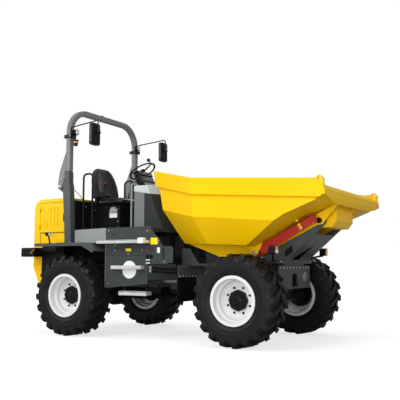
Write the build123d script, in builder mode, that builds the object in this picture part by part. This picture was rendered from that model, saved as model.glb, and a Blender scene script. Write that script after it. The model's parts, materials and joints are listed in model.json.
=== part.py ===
"""Articulated front-tip site dumper, in millimetres.

+X points forward, +Y to the machine's left, +Z up; the floor is z = 0.
Lengths along the machine are stations, counted from the front axle and placed by at().
"""

from build123d import *
from math import atan2, cos, degrees, hypot, radians, sin, tan
import os

os.makedirs("parts", exist_ok=True)

# Overall layout
wheelbase = 2531.0
front_reach = 1090.0
rear_overhang = 1065.0
axle_height = 535.0
wheel_centre_y = 901.0
pivot_station = -1265.0
front_axle_x = (wheelbase + rear_overhang - front_reach) / 2
seat_gap = 0.3
running_gap = 0.1
moving_gap = 8.0

# Wheels
tyre_radius = 535.0
lug_count = 20
lug_foot_radius = 428.0
lug_trim = 120.0
bead_radius = 254.0
flange_radius = 285.0
flange_half_width = 188.0
flange_wall = 14.0
rim_wall = 9.0
rim_step_radius = 222.0
disc_offset = 20.0
disc_wall = 14.0
hub_radius = 112.0
hub_reach = 62.0
hub_flange_radius = 165.0
hub_cap_radius = 124.0
hub_cap_corner = 25.0
hub_cap_chamfer = 10.0
hub_flange_wall = 22.0
spindle_radius = 45.0

# Tyre forms: (radius, half width) outlines from bead to crown, and the lug's plan and profile
bead_seat = bead_radius + seat_gap
bead_face = flange_half_width - flange_wall - seat_gap
tyre_outside = [
    (bead_seat, bead_face), (flange_radius + 2, bead_face), (299, 178), (335, 197), (390, 205),
    (440, 202), (474, 188), (495, 158), (502, 100),
]
tyre_inside = [
    (bead_seat - 10, bead_face - 34), (bead_seat, bead_face - 34), (315, 154), (370, 186),
    (430, 187), (462, 172), (478, 140), (484, 80),
]
lug_plan = [(-12, -82), (100, -8), (206, 26), (206, 90), (100, 50), (-12, -38)]
lug_profile = [
    (-12, 488), (-12, 528.6), (152, 528.6), (186, 519), (201, 492), (204.5, 450), (200, 428),
    (180, 440), (150, 488),
]

# Axles
axle_tube_radius = 72.0
axle_flange_radius = 118.0
differential_radius = 178.0
differential_half_width = 150.0
nose_radius = 62.0
nose_reach = 250.0
shaft_height = 500.0

# Front frame
front_rail_y = 300.0
rail_wall = 24.0
front_rail_top = 955.0
front_rail_bottom = 640.0
front_rail_rear = -960.0
front_rail_front = 300.0
neck_lug_wall = 36.0
neck_top = 900.0
neck_bottom = 560.0
neck_radius = 105.0
pivot_pin_radius = 38.0

# Skip arms
arm_y = 338.0
arm_wall = 46.0
tip_station = 782.0
tip_height = 1454.0
tip_pin_radius = 25.0
arm_tip_radius = 62.0
arm_base_front = 330.0
arm_base_rear = -330.0
base_plate_wall = 20.0
base_plate_half_width = 460.0

# Skip
skip_wall = 10.0
skip_half_width = 990.0
rim_band = 40.0
rim_depth = 200.0
corner_station = -592.0
crease_drop_station = -0.0775
crease_front_height = 1466.0
bottom_half_width = 750.0
bottom_height = 1166.0
bottom_slope = -0.046
ramp_foot = 20.0
ramp_top_station = 1030.0
ramp_top_height = 1660.0
ramp_knee_station = 600.0
ramp_knee_height = 1500.0
rim_front = 1075.0
rim_front_height = 1860.0
rim_bevel = 45.0
rear_bottom_station = -1100.0
rear_crease_station = -1262.0
rear_crease_height = 1650.0
rear_top_station = -1418.0
rear_top_height = 2176.0
rear_half_width = 550.0
lip_height = 1800.0
lip_bottom = 1615.0
lip_back = 975.0
lip_front = 1090.0
lip_end_half_width = 1030.0
lip_floor_half_width = 650.0
keel_half_width = 350.0
keel_bottom = 1042.0
rib_wall = 12.0
lug_hole_radius = 15.0
lug_wall = 40.0
lug_hole_station = 1028.0
lug_hole_height = 1859.0

# Rear frame
rear_rail_y = 385.0
rear_rail_top = 930.0
rear_rail_bottom = 640.0
rear_rail_front = -1520.0
rear_rail_rear = -3380.0

# Body sides, deck and fenders
panel_y = 950.0
panel_wall = 8.0
deck_height = 1420.0
deck_wall = 40.0
panel_rear = -1950.0
fender_y = 1100.0
fender_height = 1232.0
fender_rear = -3094.0
fender_front = -2235.0
fender_wall = 12.0

# Hood
hood_half_width = 640.0
hood_top = 1905.0
hood_rear = -3596.0
hood_front = -2915.0
hood_wall = 20.0
hood_foot = 640.0
hood_seat = 1232.6
hood_cut_station = -3400.0
hood_lump_station = -3470.0
hood_lump_height = 900.0
hood_radii = (0, 0, 150, 120, 40, 0, 0)
hood_edge_radius = 35.0
louvre_count = 5
louvre_pitch = 66.0
louvre_depth = 6.0
louvre_start = -3380.0
louvre_heights = (1480.0, 1775.0)
door_bottom = 1408.0
door_top = 1846.0
door_front = -2958.0
door_rear = -3460.0
door_wall = 22.0

# Roll-over frame
rops_tube = 80.0
rops_wall = 8.0
rops_y = 760.0
rops_station = -2792.0
rops_top = 3150.0
rops_corner = 330.0
rops_split = 2258.0
rops_fold_station = -2930.0
rops_fold_height = 2043.0
rops_fold_pin = 14.0

# Operator's place
console_half_width = 380.0
console_nose_half_width = 150.0
console_rear = -1925.0
console_shoulder = -1712.0
console_nose = -1595.0
console_nose_foot = -1385.0
console_cheek_foot = -1440.0
console_top = 2030.0
console_wall = 8.0

# Cylinders
steer_base = (-1765.0, -262.0)
steer_eye = (-1030.0, -262.0)
steer_height = 730.0
steer_barrel_radius = 38.0
steer_rod_radius = 20.0
steer_barrel_length = 500.0
steer_piston_station = 250.0
steer_eye_radius = 34.0
steer_eye_wall = 40.0
tip_base = (-330.0, 800.0)
tip_eye = (400.0, 1180.0)
tip_barrel_radius = 62.0
tip_rod_radius = 34.0
tip_barrel_length = 610.0
tip_piston_station = 110.0
tip_eye_radius = 46.0
tip_eye_wall = 70.0
cylinder_wall = 9.0
gland_length = 45.0


def at(station):
    """The x of a station, which is counted forward from the front axle."""
    return front_axle_x + station


def slab(x, y, z, mode=Mode.ADD):
    """A block between pairs of stations, y values and heights."""
    with Locations((at((x[0] + x[1]) / 2), (y[0] + y[1]) / 2, (z[0] + z[1]) / 2)):
        Box(x[1] - x[0], y[1] - y[0], z[1] - z[0], mode=mode)


def plate(outline, y, mode=Mode.ADD):
    """A plate standing fore and aft: its (station, height) outline, between two y values."""
    with BuildSketch(Plane.XZ.offset(-y[1])) as face:
        with BuildLine():
            Polyline([(at(s), h) for s, h in outline], close=True)
        make_face()
    extrude(face.sketch, amount=y[1] - y[0], mode=mode)


def bent_plate(outline, radii, y, mode=Mode.ADD):
    """A plate standing fore and aft whose outline is rounded to a radius at each corner."""
    with BuildSketch(Plane.XZ.offset(-y[1])) as face:
        with BuildLine():
            FilletPolyline([(at(s), h) for s, h in outline], radius=radii, close=True)
        make_face()
    extrude(face.sketch, amount=y[1] - y[0], mode=mode)


def tier(outline, z, mode=Mode.ADD):
    """A level plate: its (station, y) outline, between two heights."""
    with BuildSketch(Plane.XY.offset(z[0])) as face:
        with BuildLine():
            Polyline([(at(s), y) for s, y in outline], close=True)
        make_face()
    extrude(face.sketch, amount=z[1] - z[0], mode=mode)


def bulkhead(outline, x, mode=Mode.ADD):
    """A plate standing across: its (y, height) outline, between two stations."""
    with BuildSketch(Plane.YZ.offset(at(x[0]))) as face:
        with BuildLine():
            Polyline(outline, close=True)
        make_face()
    extrude(face.sketch, amount=x[1] - x[0], mode=mode)


def cross_bar(station, height, radius, y, mode=Mode.ADD):
    """A round bar along Y between two y values."""
    with Locations((at(station), (y[0] + y[1]) / 2, height)):
        Cylinder(radius, y[1] - y[0], rotation=(90, 0, 0), mode=mode)


def post(station, y, radius, z, mode=Mode.ADD):
    """An upright round bar between two heights."""
    with Locations((at(station), y, (z[0] + z[1]) / 2)):
        Cylinder(radius, z[1] - z[0], mode=mode)


def rounded_block(x, y, z, radius, along):
    """A block whose edges along one axis are rounded."""
    with BuildPart(mode=Mode.PRIVATE) as block:
        slab(x, y, z)
        fillet(block.edges().filter_by(along), radius)
    add(block.part)


def tube(points, radius, bend):
    """A round bar through the points, bent to one radius at its corners."""
    places = [(at(s), y, z) for s, y, z in points]
    with BuildLine() as path:
        if len(places) > 2:
            FilletPolyline(*places, radius=bend)
        else:
            Polyline(*places)
    with BuildSketch(Plane(origin=path.line @ 0, z_dir=path.line % 0)) as section:
        Circle(radius)
    sweep(section.sketch, path=path.line)


def hose(points, radius):
    """A round hose through the points, each bend as easy as its shorter run allows."""
    places = [Vector(at(s), y, z) for s, y, z in points]
    runs = [b - a for a, b in zip(places, places[1:])]
    bends = []
    for before, after in zip(runs, runs[1:]):
        half_turn = radians(before.get_angle(after)) / 2
        bends.append(0.45 * min(before.length, after.length) / tan(half_turn))
    with BuildLine() as path:
        FilletPolyline(*places, radius=bends)
    with BuildSketch(Plane(origin=path.line @ 0, z_dir=path.line % 0)) as section:
        Circle(radius)
    sweep(section.sketch, path=path.line)


def spun(outline, station, height, y, outward):
    """A ring about a cross axis: its (radius, reach) outline, reach counted outward from y."""
    with BuildSketch(Plane.XY) as section:
        with BuildLine():
            Polyline([(at(station) + r, y + outward * w) for r, w in outline], close=True)
        make_face()
    axis = Axis((at(station), y, 0), (0, 1, 0))
    revolve(section.sketch, axis=axis)


def both(build):
    """The same piece on the right and on the left."""
    for side in (-1, 1):
        build(side)


def span(side, low, high):
    """A pair of y values on one side of the machine, low first."""
    return (low, high) if side > 0 else (-high, -low)


def write(piece, name):
    piece.part.label = name
    export_step(piece.part, "parts/" + name + ".step")


# Wheels: tyre, rim and hub
def ring_tyre():
    """A tyre at the origin: its outer form with both rows of lugs, then its hollow taken out."""
    with BuildPart() as lug:
        with BuildSketch(Plane.XY.offset(lug_foot_radius)) as face:
            with BuildLine():
                Polyline([(along, across) for across, along in lug_plan], close=True)
            make_face()
        extrude(face.sketch, amount=tyre_radius - lug_foot_radius)
        with BuildSketch(Plane.YZ.offset(-lug_trim)) as face:
            with BuildLine():
                Polyline(lug_profile, close=True)
            make_face()
        extrude(face.sketch, amount=2 * lug_trim, mode=Mode.INTERSECT)
    right_row = mirror(lug.part, about=Plane.XZ)
    step = 360 / lug_count
    rows = [lug.part.rotate(Axis.Y, step * n) for n in range(lug_count)]
    rows += [right_row.rotate(Axis.Y, step * (n + 0.5)) for n in range(lug_count)]
    with BuildPart() as tyre:
        with BuildSketch(Plane.XY) as section:
            with BuildLine():
                Polyline(tyre_outside + [(r, -w) for r, w in reversed(tyre_outside)], close=True)
            make_face()
        revolve(section.sketch, axis=Axis.Y)
        add(rows)
        with BuildSketch(Plane.XY) as section:
            with BuildLine():
                Polyline(tyre_inside + [(r, -w) for r, w in reversed(tyre_inside)], close=True)
            make_face()
        revolve(section.sketch, axis=Axis.Y, mode=Mode.SUBTRACT)
    return tyre.part


tyre_form = ring_tyre()


def build_wheel(tag, station, side):
    y = side * wheel_centre_y
    centre = Location((at(station), y, axle_height))

    with BuildPart() as tyre:
        add(tyre_form)
    tyre.part.location = centre
    write(tyre, "tyre_" + tag)

    half = flange_half_width
    with BuildPart() as rim:
        inner = bead_radius - rim_wall
        outline = [
            (flange_radius, half),
            (flange_radius, half - flange_wall),
            (bead_radius, half - flange_wall),
            (bead_radius, half - 75),
            (rim_step_radius + rim_wall, half - 100),
            (rim_step_radius + rim_wall, -half + 100),
            (bead_radius, -half + 75),
            (bead_radius, -half + flange_wall),
            (flange_radius, -half + flange_wall),
            (flange_radius, -half),
            (inner + 6, -half),
            (inner, -half + 70),
            (rim_step_radius, -half + 96),
            (rim_step_radius, disc_offset - disc_wall),
            (hub_radius + seat_gap, disc_offset - disc_wall),
            (hub_radius + seat_gap, disc_offset),
            (rim_step_radius - 26, disc_offset),
            (rim_step_radius, disc_offset + 24),
            (rim_step_radius, half - 96),
            (inner, half - 70),
            (inner + 6, half),
        ]
        spun([(r, w) for r, w in outline], -front_axle_x, 0, 0, side)
    rim.part.location = centre
    write(rim, "rim_" + tag)

    with BuildPart() as hub:
        back = disc_offset - disc_wall - seat_gap
        outline = [
            (spindle_radius + running_gap, back - hub_flange_wall),
            (hub_flange_radius, back - hub_flange_wall),
            (hub_flange_radius, back),
            (hub_radius, back),
            (hub_radius, hub_reach - 10),
            (hub_radius - 10, hub_reach),
            (0, hub_reach),
            (0, hub_reach - 22),
            (spindle_radius + running_gap, hub_reach - 22),
        ]
        spun(outline, -front_axle_x, 0, 0, side)
        cap = Plane(origin=(0, side * disc_offset, 0), z_dir=(0, side, 0))
        with BuildSketch(cap) as face:
            RegularPolygon(hub_cap_radius, 8)
            fillet(face.vertices(), hub_cap_corner)
            Circle(hub_radius - 2, mode=Mode.SUBTRACT)
        extrude(face.sketch, amount=hub_reach - disc_offset - hub_cap_chamfer)
    hub.part.location = centre
    write(hub, "hub_" + tag)


for tag, station in (("front", 0.0), ("rear", -wheelbase)):
    build_wheel(tag + "_right", station, -1)
    build_wheel(tag + "_left", station, 1)


# Axles: beam, differential housing and spindles
def build_axle(name, station, ahead):
    back = wheel_centre_y + disc_offset - disc_wall - seat_gap - hub_flange_wall
    collar = back - moving_gap
    end = wheel_centre_y + hub_reach - 22 - 4
    half = [
        (differential_radius, 0),
        (differential_radius, differential_half_width * 0.35),
        (differential_radius * 0.88, differential_half_width * 0.75),
        (axle_tube_radius + 22, differential_half_width + 50),
        (axle_tube_radius, differential_half_width + 105),
        (axle_tube_radius, collar - 130),
        (axle_flange_radius, collar - 60),
        (axle_flange_radius, collar),
        (spindle_radius, collar),
        (spindle_radius, end),
    ]
    with BuildPart() as axle:
        with BuildSketch(Plane.XY) as section:
            with BuildLine():
                right = [(r, -w) for r, w in reversed(half)]
                Polyline([(0, -end)] + right[:-1] + half + [(0, end)], close=True)
            make_face()
        revolve(axis=Axis.Y)
        with Locations((ahead * nose_reach / 2, 0, shaft_height - axle_height)):
            Cylinder(nose_radius, nose_reach, rotation=(0, 90, 0))
    axle.part.location = Location((at(station), 0, axle_height))
    write(axle, name)


build_axle("front_axle", 0.0, -1)
build_axle("rear_axle", -wheelbase, 1)


# Front frame: rails, neck and the lugs of the pivot
def round_lug(station, y, radius, root, z):
    """A level lug: a disc about the pivot that widens to its root at a station."""
    with BuildSketch(Plane.XY.offset(z[0])) as face:
        with BuildLine():
            Polyline(
                [
                    (at(station), y - radius),
                    (at(root[0]), y - root[1]),
                    (at(root[0]), y + root[1]),
                    (at(station), y + radius),
                ],
                close=True,
            )
        make_face()
        with Locations((at(station), y)):
            Circle(radius)
    extrude(face.sketch, amount=z[1] - z[0])


axle_top = axle_height + axle_tube_radius + seat_gap
pad_half_length = 95.0
pad_reach = 420.0

with BuildPart() as front_chassis:
    rail = [
        (front_rail_rear, neck_bottom),
        (front_rail_rear, front_rail_top),
        (front_rail_front, front_rail_top),
        (front_rail_front, front_rail_bottom + 20),
        (front_rail_front - 120, front_rail_bottom),
        (-480, front_rail_bottom),
        (-640, neck_bottom),
    ]
    inner = front_rail_y - rail_wall
    both(lambda side: plate(rail, span(side, inner, front_rail_y)))
    slab((front_rail_rear, front_rail_rear + rail_wall), (-inner, inner), (neck_bottom, front_rail_top))
    slab(
        (front_rail_front - rail_wall, front_rail_front), (-inner, inner),
        (front_rail_bottom + 20, front_rail_top),
    )
    slab((front_rail_rear, arm_base_rear - 15), (-inner, inner), (front_rail_top - rail_wall, front_rail_top))
    bulkhead(
        [(-104, front_rail_bottom + 30), (-74, 830), (74, 830), (104, front_rail_bottom + 30)],
        (front_rail_front - 2 * rail_wall, front_rail_front + rail_wall),
        Mode.SUBTRACT,
    )
    for z in ((neck_bottom, neck_bottom + neck_lug_wall), (neck_top - neck_lug_wall, neck_top)):
        round_lug(pivot_station, 0, neck_radius, (front_rail_rear + 1, inner), z)
    post(pivot_station, 0, pivot_pin_radius, (neck_bottom - 20, neck_top + 20))
    both(
        lambda side: slab(
            (-pad_half_length, pad_half_length), span(side, inner, pad_reach),
            (axle_top, front_rail_bottom),
        )
    )
    both(
        lambda side: slab(
            (-pad_half_length, pad_half_length), span(side, front_rail_y, pad_reach),
            (axle_top, axle_top + 60),
        )
    )
    eye_half = steer_eye_wall / 2
    for low in (steer_height - eye_half - moving_gap - 20, steer_height + eye_half + moving_gap):
        slab((steer_eye[0] - 42, front_rail_rear), (steer_eye[1] - 38, steer_eye[1] + 38), (low, low + 20))
    slab((-440, -400), (-inner, inner), (700, front_rail_top - rail_wall))
    for y in ((-66, -44), (44, 66)):
        plate([(-410, 730), (-410, 870), (-330, 856), (-286, 826), (-286, 774), (-330, 744)], y)
    cross_bar(tip_base[0], tip_base[1], 24, (-66, 66))
write(front_chassis, "front_chassis")

# Mudguard plates and their flaps behind the front wheels
mudguard_station = -735.0
mudguard_wall = 8.0
mudguard_reach = 1080.0
flap_inner_y = 650.0

with BuildPart() as mudguard_plates:
    for side in (-1, 1):
        y = [front_rail_y, front_rail_y, 960, mudguard_reach, mudguard_reach, 700]
        z = [800, 925, 943, 930, 790, 790]
        bulkhead([(side * a, b) for a, b in zip(y, z)], (mudguard_station, mudguard_station + mudguard_wall))
        slab((mudguard_station, mudguard_station + 60), span(side, front_rail_y, 940), (916, 924))
write(mudguard_plates, "mudguard_plates")

with BuildPart() as mudflaps:
    for side in (-1, 1):
        slab((mudguard_station - 9, mudguard_station), span(side, flap_inner_y, mudguard_reach), (500, 815))
write(mudflaps, "mudflaps")


# Skip arms: raked side plates on a base plate, carrying the tip pins
def arm_bore(mode):
    cross_bar(
        tip_station, tip_height, tip_pin_radius + running_gap, (-arm_y - arm_wall, arm_y + arm_wall), mode,
    )


with BuildPart() as skip_arms:
    slope = atan2(483, 731)
    arm = [
        (arm_base_rear, front_rail_top + base_plate_wall),
        (arm_base_rear, front_rail_top + base_plate_wall + 22),
        (20, 1022),
        (tip_station - arm_tip_radius * sin(slope), tip_height + arm_tip_radius * cos(slope)),
        (tip_station, tip_height),
        (tip_station + arm_tip_radius * 0.62, tip_height - arm_tip_radius * 0.78),
        (arm_base_front + 45, 1020),
        (arm_base_front + 15, front_rail_top + base_plate_wall),
    ]
    both(lambda side: plate(arm, span(side, arm_y - arm_wall / 2, arm_y + arm_wall / 2)))
    both(
        lambda side: cross_bar(
            tip_station, tip_height, arm_tip_radius, span(side, arm_y - arm_wall / 2, arm_y + arm_wall / 2),
        )
    )
    base_z = (front_rail_top, front_rail_top + base_plate_wall)
    slab((arm_base_rear, arm_base_front + 15), (-base_plate_half_width, base_plate_half_width), base_z)
    slab((arm_base_rear + 30, 250), (-95, 95), (front_rail_top - 5, base_z[1] + 5), Mode.SUBTRACT)
    inner = arm_y - arm_wall / 2
    face = [
        (arm_base_front, base_z[1]), (arm_base_front + 15, base_z[1]), (arm_base_front + 45, 1020),
        (706, 1305), (692, 1305), (arm_base_front + 33, 1026), (arm_base_front, 985),
    ]
    plate(face, (-inner, inner))
    bulkhead([(-235, 1000), (30, 1000), (30, 1195)], (arm_base_front - 60, 760), Mode.SUBTRACT)
    both(lambda side: slab((-290, -180), span(side, 190, 275), (base_z[1], keel_bottom - moving_gap)))
    arm_bore(Mode.SUBTRACT)
write(skip_arms, "skip_arms")

# Front signal lamps on their arms
lamp_station = (340.0, 425.0)
lamp_y = (765.0, 850.0)
lamp_z = (1060.0, 1160.0)

with BuildPart() as signal_lamp_arms:
    for side in (-1, 1):
        slab(
            (210, 260), span(side, base_plate_half_width - 30, base_plate_half_width + 60),
            (base_z[1], base_z[1] + 12),
        )
        y_in = side * (base_plate_half_width + 40)
        tube([(235, y_in, base_z[1] + 12), (300, side * 640, 1035), (375, side * 805, 1062)], 14, 30)
        rounded_block(lamp_station, span(side, *lamp_y), lamp_z, 16, Axis.X)
        slab(
            (lamp_station[1] - 12, lamp_station[1] + 1), span(side, lamp_y[0] + 10, lamp_y[1] - 10),
            (lamp_z[0] + 10, lamp_z[1] - 10), Mode.SUBTRACT,
        )
write(signal_lamp_arms, "signal_lamp_arms")

with BuildPart() as signal_lenses:
    for side in (-1, 1):
        slab(
            (lamp_station[1] - 12 + seat_gap, lamp_station[1] + 4),
            span(side, lamp_y[0] + 10 + seat_gap, lamp_y[1] - 10 - seat_gap),
            (lamp_z[0] + 10 + seat_gap, lamp_z[1] - 10 - seat_gap),
        )
write(signal_lenses, "signal_lenses")


# Skip: a plate body cut by its facets, with a box rim, a front lip, a keel and ribs
def facet(points):
    """The plane through three (station, y, height) points, its normal away from the load."""
    a, b, c = (Vector(at(s), y, z) for s, y, z in points)
    normal = (b - a).cross(c - a).normalized()
    heart = Vector(at(-200), 0, 1700)
    if normal.dot(a - heart) < 0:
        normal = normal * -1
    return Plane(origin=a, z_dir=normal)


def floor_z(station):
    return bottom_height + bottom_slope * (station - ramp_foot)


def ramp_z(station):
    """The ramp's underside: steeper up to its knee, then flatter to the lip."""
    if station < ramp_knee_station:
        share = (station - ramp_foot) / (ramp_knee_station - ramp_foot)
        return bottom_height + share * (ramp_knee_height - bottom_height)
    share = (station - ramp_knee_station) / (ramp_top_station - ramp_knee_station)
    return ramp_knee_height + share * (ramp_top_height - ramp_knee_height)


def under_ramp(grown, front):
    """What lies below the ramp once it is grown by a wall."""
    back = ramp_foot - 200
    steep = hypot(1, (ramp_z(ramp_foot + 1) - ramp_z(ramp_foot)))
    flat = hypot(1, (ramp_z(ramp_top_station) - ramp_z(ramp_top_station - 1)))
    knee = (steep + flat) / 2
    return [
        (back, ramp_z(back) - grown * steep),
        (ramp_knee_station, ramp_knee_height - grown * knee),
        (front + 1, ramp_z(front + 1) - grown * flat),
        (front + 1, 900),
        (back, 900),
    ]


def crease_z(station):
    return crease_front_height + crease_drop_station * (station - ramp_foot)


def skip_facets():
    corner = (corner_station, skip_half_width, crease_z(corner_station))
    rear_y = skip_half_width - (skip_half_width - rear_half_width) * (
        corner_station - rear_crease_station
    ) / (corner_station - rear_top_station)
    sides = []
    for side in (-1, 1):
        sides.append(
            [
                (0, side * skip_half_width, 1500), (500, side * skip_half_width, 1500),
                (0, side * skip_half_width, 1900),
            ]
        )
        sides.append([
            (corner[0], side * corner[1], corner[2]),
            (ramp_foot, side * corner[1], crease_z(ramp_foot)),
            (corner_station + 80, side * bottom_half_width, floor_z(corner_station + 80)),
        ])
        sides.append([
            (corner_station, side * skip_half_width, 1500),
            (corner_station, side * skip_half_width, 1900),
            (rear_top_station, side * rear_half_width, 1900),
        ])
        sides.append([
            (corner[0], side * corner[1], corner[2]),
            (rear_crease_station, side * rear_y, rear_crease_height),
            (corner_station + 80, side * bottom_half_width, floor_z(corner_station + 80)),
        ])
    rear = [
        [
            (rear_bottom_station, 0, floor_z(rear_bottom_station)),
            (rear_bottom_station, 300, floor_z(rear_bottom_station)),
            (rear_crease_station, 0, rear_crease_height),
        ],
        [
            (rear_crease_station, 0, rear_crease_height), (rear_crease_station, 300, rear_crease_height),
            (rear_top_station, 0, rear_top_height),
        ],
    ]
    under = [
        [
            (ramp_foot, 0, bottom_height), (ramp_foot, 300, bottom_height),
            (rear_bottom_station, 0, floor_z(rear_bottom_station)),
        ],
    ]
    return [facet(p) for p in sides + rear + under]


def skip_form(grown, front):
    """The load space grown by a wall, up to a front station, before its top is cut."""
    with BuildPart() as form:
        slab((-1700, front), (-1300, 1300), (1000, 2500))
        for face in skip_facets():
            split(bisect_by=face.offset(grown), keep=Keep.BOTTOM)
        plate(under_ramp(grown, front), (-1300, 1300), Mode.SUBTRACT)
    return form.part


rim_top = [
    (rear_top_station - 60, rear_top_height + 14),
    (corner_station, 1981),
    (rim_front, rim_front_height),
]
rim_foot = [(s, z - rim_depth) for s, z in reversed(rim_top[:-1])]
rim_outline = rim_top + [
    (rim_front, rim_front_height - rim_depth + rim_bevel),
    (rim_front - rim_bevel, rim_front_height - rim_depth),
] + rim_foot
over_rim = rim_top + [
    (rim_front + 200, 1850), (rim_front + 200, 2700), (-1800, 2700), (-1800, rear_top_height + 90),
]

with BuildPart() as lip:
    section = [
        (lip_back, lip_height),
        (lip_front - 48, lip_height),
        (lip_front, lip_height - 50),
        (lip_front, lip_bottom + 58),
        (lip_front - 26, lip_bottom),
        (lip_back + 14, lip_bottom + 12),
        (lip_back, lip_bottom + 40),
    ]
    plate(section, (-lip_end_half_width, lip_end_half_width))
    hollow = [
        (lip_back + rib_wall, lip_height - rib_wall), (lip_front - 54, lip_height - rib_wall),
        (lip_front - rib_wall, lip_height - 56), (lip_front - rib_wall, lip_bottom + 90),
        (lip_back + rib_wall, lip_bottom + 90),
    ]
    plate(hollow, (-lip_end_half_width + rib_wall, lip_end_half_width - rib_wall), Mode.SUBTRACT)
    for side in (-1, 1):
        cut = [
            (side * lip_floor_half_width, lip_bottom - 1),
            (side * (lip_end_half_width + 1), lip_bottom + 74),
            (side * (lip_end_half_width + 1), lip_bottom - 1),
        ]
        bulkhead(cut, (lip_back - 1, lip_front + 1), Mode.SUBTRACT)

mouth_half = lip_end_half_width - lug_wall
with BuildPart() as rim_box:
    add(skip_form(rim_band, rim_front))
    plate(rim_outline, (-1300, 1300), Mode.INTERSECT)
    slab((lip_back + 1, rim_front + 1), (-mouth_half, mouth_half), (1000, 2500), Mode.SUBTRACT)

with BuildPart() as skip_body:
    add(skip_form(0, lip_back + 1))
    add(rim_box.part)
    plate(over_rim, (-1300, 1300), Mode.SUBTRACT)
    add(lip.part)
    add(skip_form(-skip_wall, lip_back), mode=Mode.SUBTRACT)
    slab((lip_back - 1, lip_front + 2), (-mouth_half, mouth_half), (lip_height, 2500), Mode.SUBTRACT)
    keel = [
        (-1060, floor_z(-1060) + 4),
        (-575, keel_bottom),
        (-60, keel_bottom),
        (ramp_foot - 5, floor_z(ramp_foot - 5) + 4),
    ]
    plate(keel, (-keel_half_width, keel_half_width))
    pocket = [
        (-1010, floor_z(-1010) - skip_wall), (-565, keel_bottom + rib_wall), (-72, keel_bottom + rib_wall),
        (-4, floor_z(-4) - skip_wall),
    ]
    plate(pocket, (-keel_half_width + rib_wall, keel_half_width - rib_wall), Mode.SUBTRACT)
    rib = [
        (-60, floor_z(-60) + 4),
        (-40, keel_bottom + 10),
        (30, keel_bottom + 10),
        (tip_station - 26, tip_height - 48),
        (tip_station + 34, tip_height - 44),
        (tip_station + 66, tip_height),
        (1002, ramp_z(1002) - 30),
        (1008, ramp_z(1008) + 4),
        (ramp_foot, bottom_height + 4),
    ]
    inner = arm_y - arm_wall / 2 - moving_gap
    outer = arm_y + arm_wall / 2 + moving_gap
    for side in (-1, 1):
        plate(rib, span(side, inner - rib_wall, inner))
        plate(rib, span(side, outer, outer + rib_wall))
        cross_bar(tip_station, tip_height, tip_pin_radius, span(side, inner - 2, outer + rib_wall + 10))
        lug = [
            (945, 1862), (990, 1872), (1004, 1887), (1028, 1895), (1052, 1887), (1066, 1859), (1066, 1700),
            (945, 1700),
        ]
        plate(lug, span(side, lip_end_half_width - lug_wall, lip_end_half_width))
        cross_bar(
            lug_hole_station, lug_hole_height, lug_hole_radius,
            span(side, lip_end_half_width - lug_wall - 1, lip_end_half_width + 1), Mode.SUBTRACT,
        )
        bracket = [
            (
                -150, floor_z(-150) + 4,
            ), (-32, 1088), (-10, 1064), (30, 1064), (88, 1180), (100, ramp_z(100) + 4),
        ]
        for y in ((410, 418), (486, 494)):
            if side < 0:
                plate(bracket, span(side, *y))
                cross_bar(-2, 1092, 9.1, (-500, -404), Mode.SUBTRACT)
    box = [(690, ramp_z(690) + 4), (722, 1377), (900, 1377), (960, 1450), (960, ramp_z(960) + 4)]
    plate(box, (-inner + rib_wall - 1, inner - rib_wall + 1))
    ear = [(300, ramp_z(300) + 4), (352, 1150), (385, 1128), (420, 1130), (452, 1160), (520, ramp_z(520) + 4)]
    for y in ((-58, -43), (43, 58)):
        plate(ear, y)
write(skip_body, "skip_body")

# Safety prop under the ramp, with its brackets' pin
with BuildPart() as safety_prop:
    with BuildSketch(Plane.XZ.offset(480)) as face:
        with BuildLine():
            Polyline([(at(10), 1036), (at(-22), 1078), (at(733), 1522), (at(764), 1474)], close=True)
        make_face()
    extrude(face.sketch, amount=-60)
    with BuildSketch(Plane.XZ.offset(480 + 1)) as face:
        with BuildLine():
            Polyline([(at(30), 1060), (at(12), 1086), (at(726), 1506), (at(745), 1478)], close=True)
        make_face()
    extrude(face.sketch, amount=-51, mode=Mode.SUBTRACT)
    cross_bar(-2, 1092, 9, (-500, -404))
write(safety_prop, "safety_prop")


# Cylinders: barrels and rods, built along X at their base pins
def build_cylinder(
    names, place, bore_radius, rod_radius, length, eye_at, piston, eye_radius, eye_wall, pin_radius, z_pin,
):
    """A barrel with a base eye and a rod with its piston, eye and pin stub, along +X from the base pin."""
    spin = (0, 0, 0) if z_pin else (90, 0, 0)
    with BuildPart() as barrel:
        with BuildSketch(Plane.XY) as section:
            with BuildLine():
                start = eye_radius + 14
                neck = rod_radius + running_gap
                Polyline(
                    [
                        (start, 0),
                        (start, bore_radius),
                        (length, bore_radius),
                        (length, neck),
                        (length - gland_length, neck),
                        (length - gland_length, bore_radius - cylinder_wall),
                        (start + 20, bore_radius - cylinder_wall),
                        (start + 20, 0),
                    ],
                    close=True,
                )
            make_face()
        revolve(axis=Axis.X)
        with Locations((0, 0, 0)):
            Cylinder(eye_radius, eye_wall, rotation=spin)
        with Locations(((start + 4) / 2, 0, 0)):
            Box(start + 4, eye_radius * 1.5 if z_pin else eye_wall, eye_wall if z_pin else eye_radius * 1.5)
        Cylinder(pin_radius + running_gap, eye_wall + 10, rotation=spin, mode=Mode.SUBTRACT)
    with BuildPart() as rod:
        with BuildSketch(Plane.XY) as section:
            with BuildLine():
                Polyline(
                    [
                        (piston, 0),
                        (piston, bore_radius - cylinder_wall - seat_gap),
                        (piston + 40, bore_radius - cylinder_wall - seat_gap),
                        (piston + 40, rod_radius),
                        (eye_at - eye_radius + 6, rod_radius),
                        (eye_at - eye_radius + 6, 0),
                    ],
                    close=True,
                )
            make_face()
        revolve(axis=Axis.X)
        with Locations((eye_at, 0, 0)):
            Cylinder(eye_radius, eye_wall, rotation=spin)
            Cylinder(pin_radius, eye_wall + 4, rotation=spin)
    barrel.part.location = place
    rod.part.location = place
    write(barrel, names + "_barrel")
    write(rod, names + "_rod")


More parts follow.
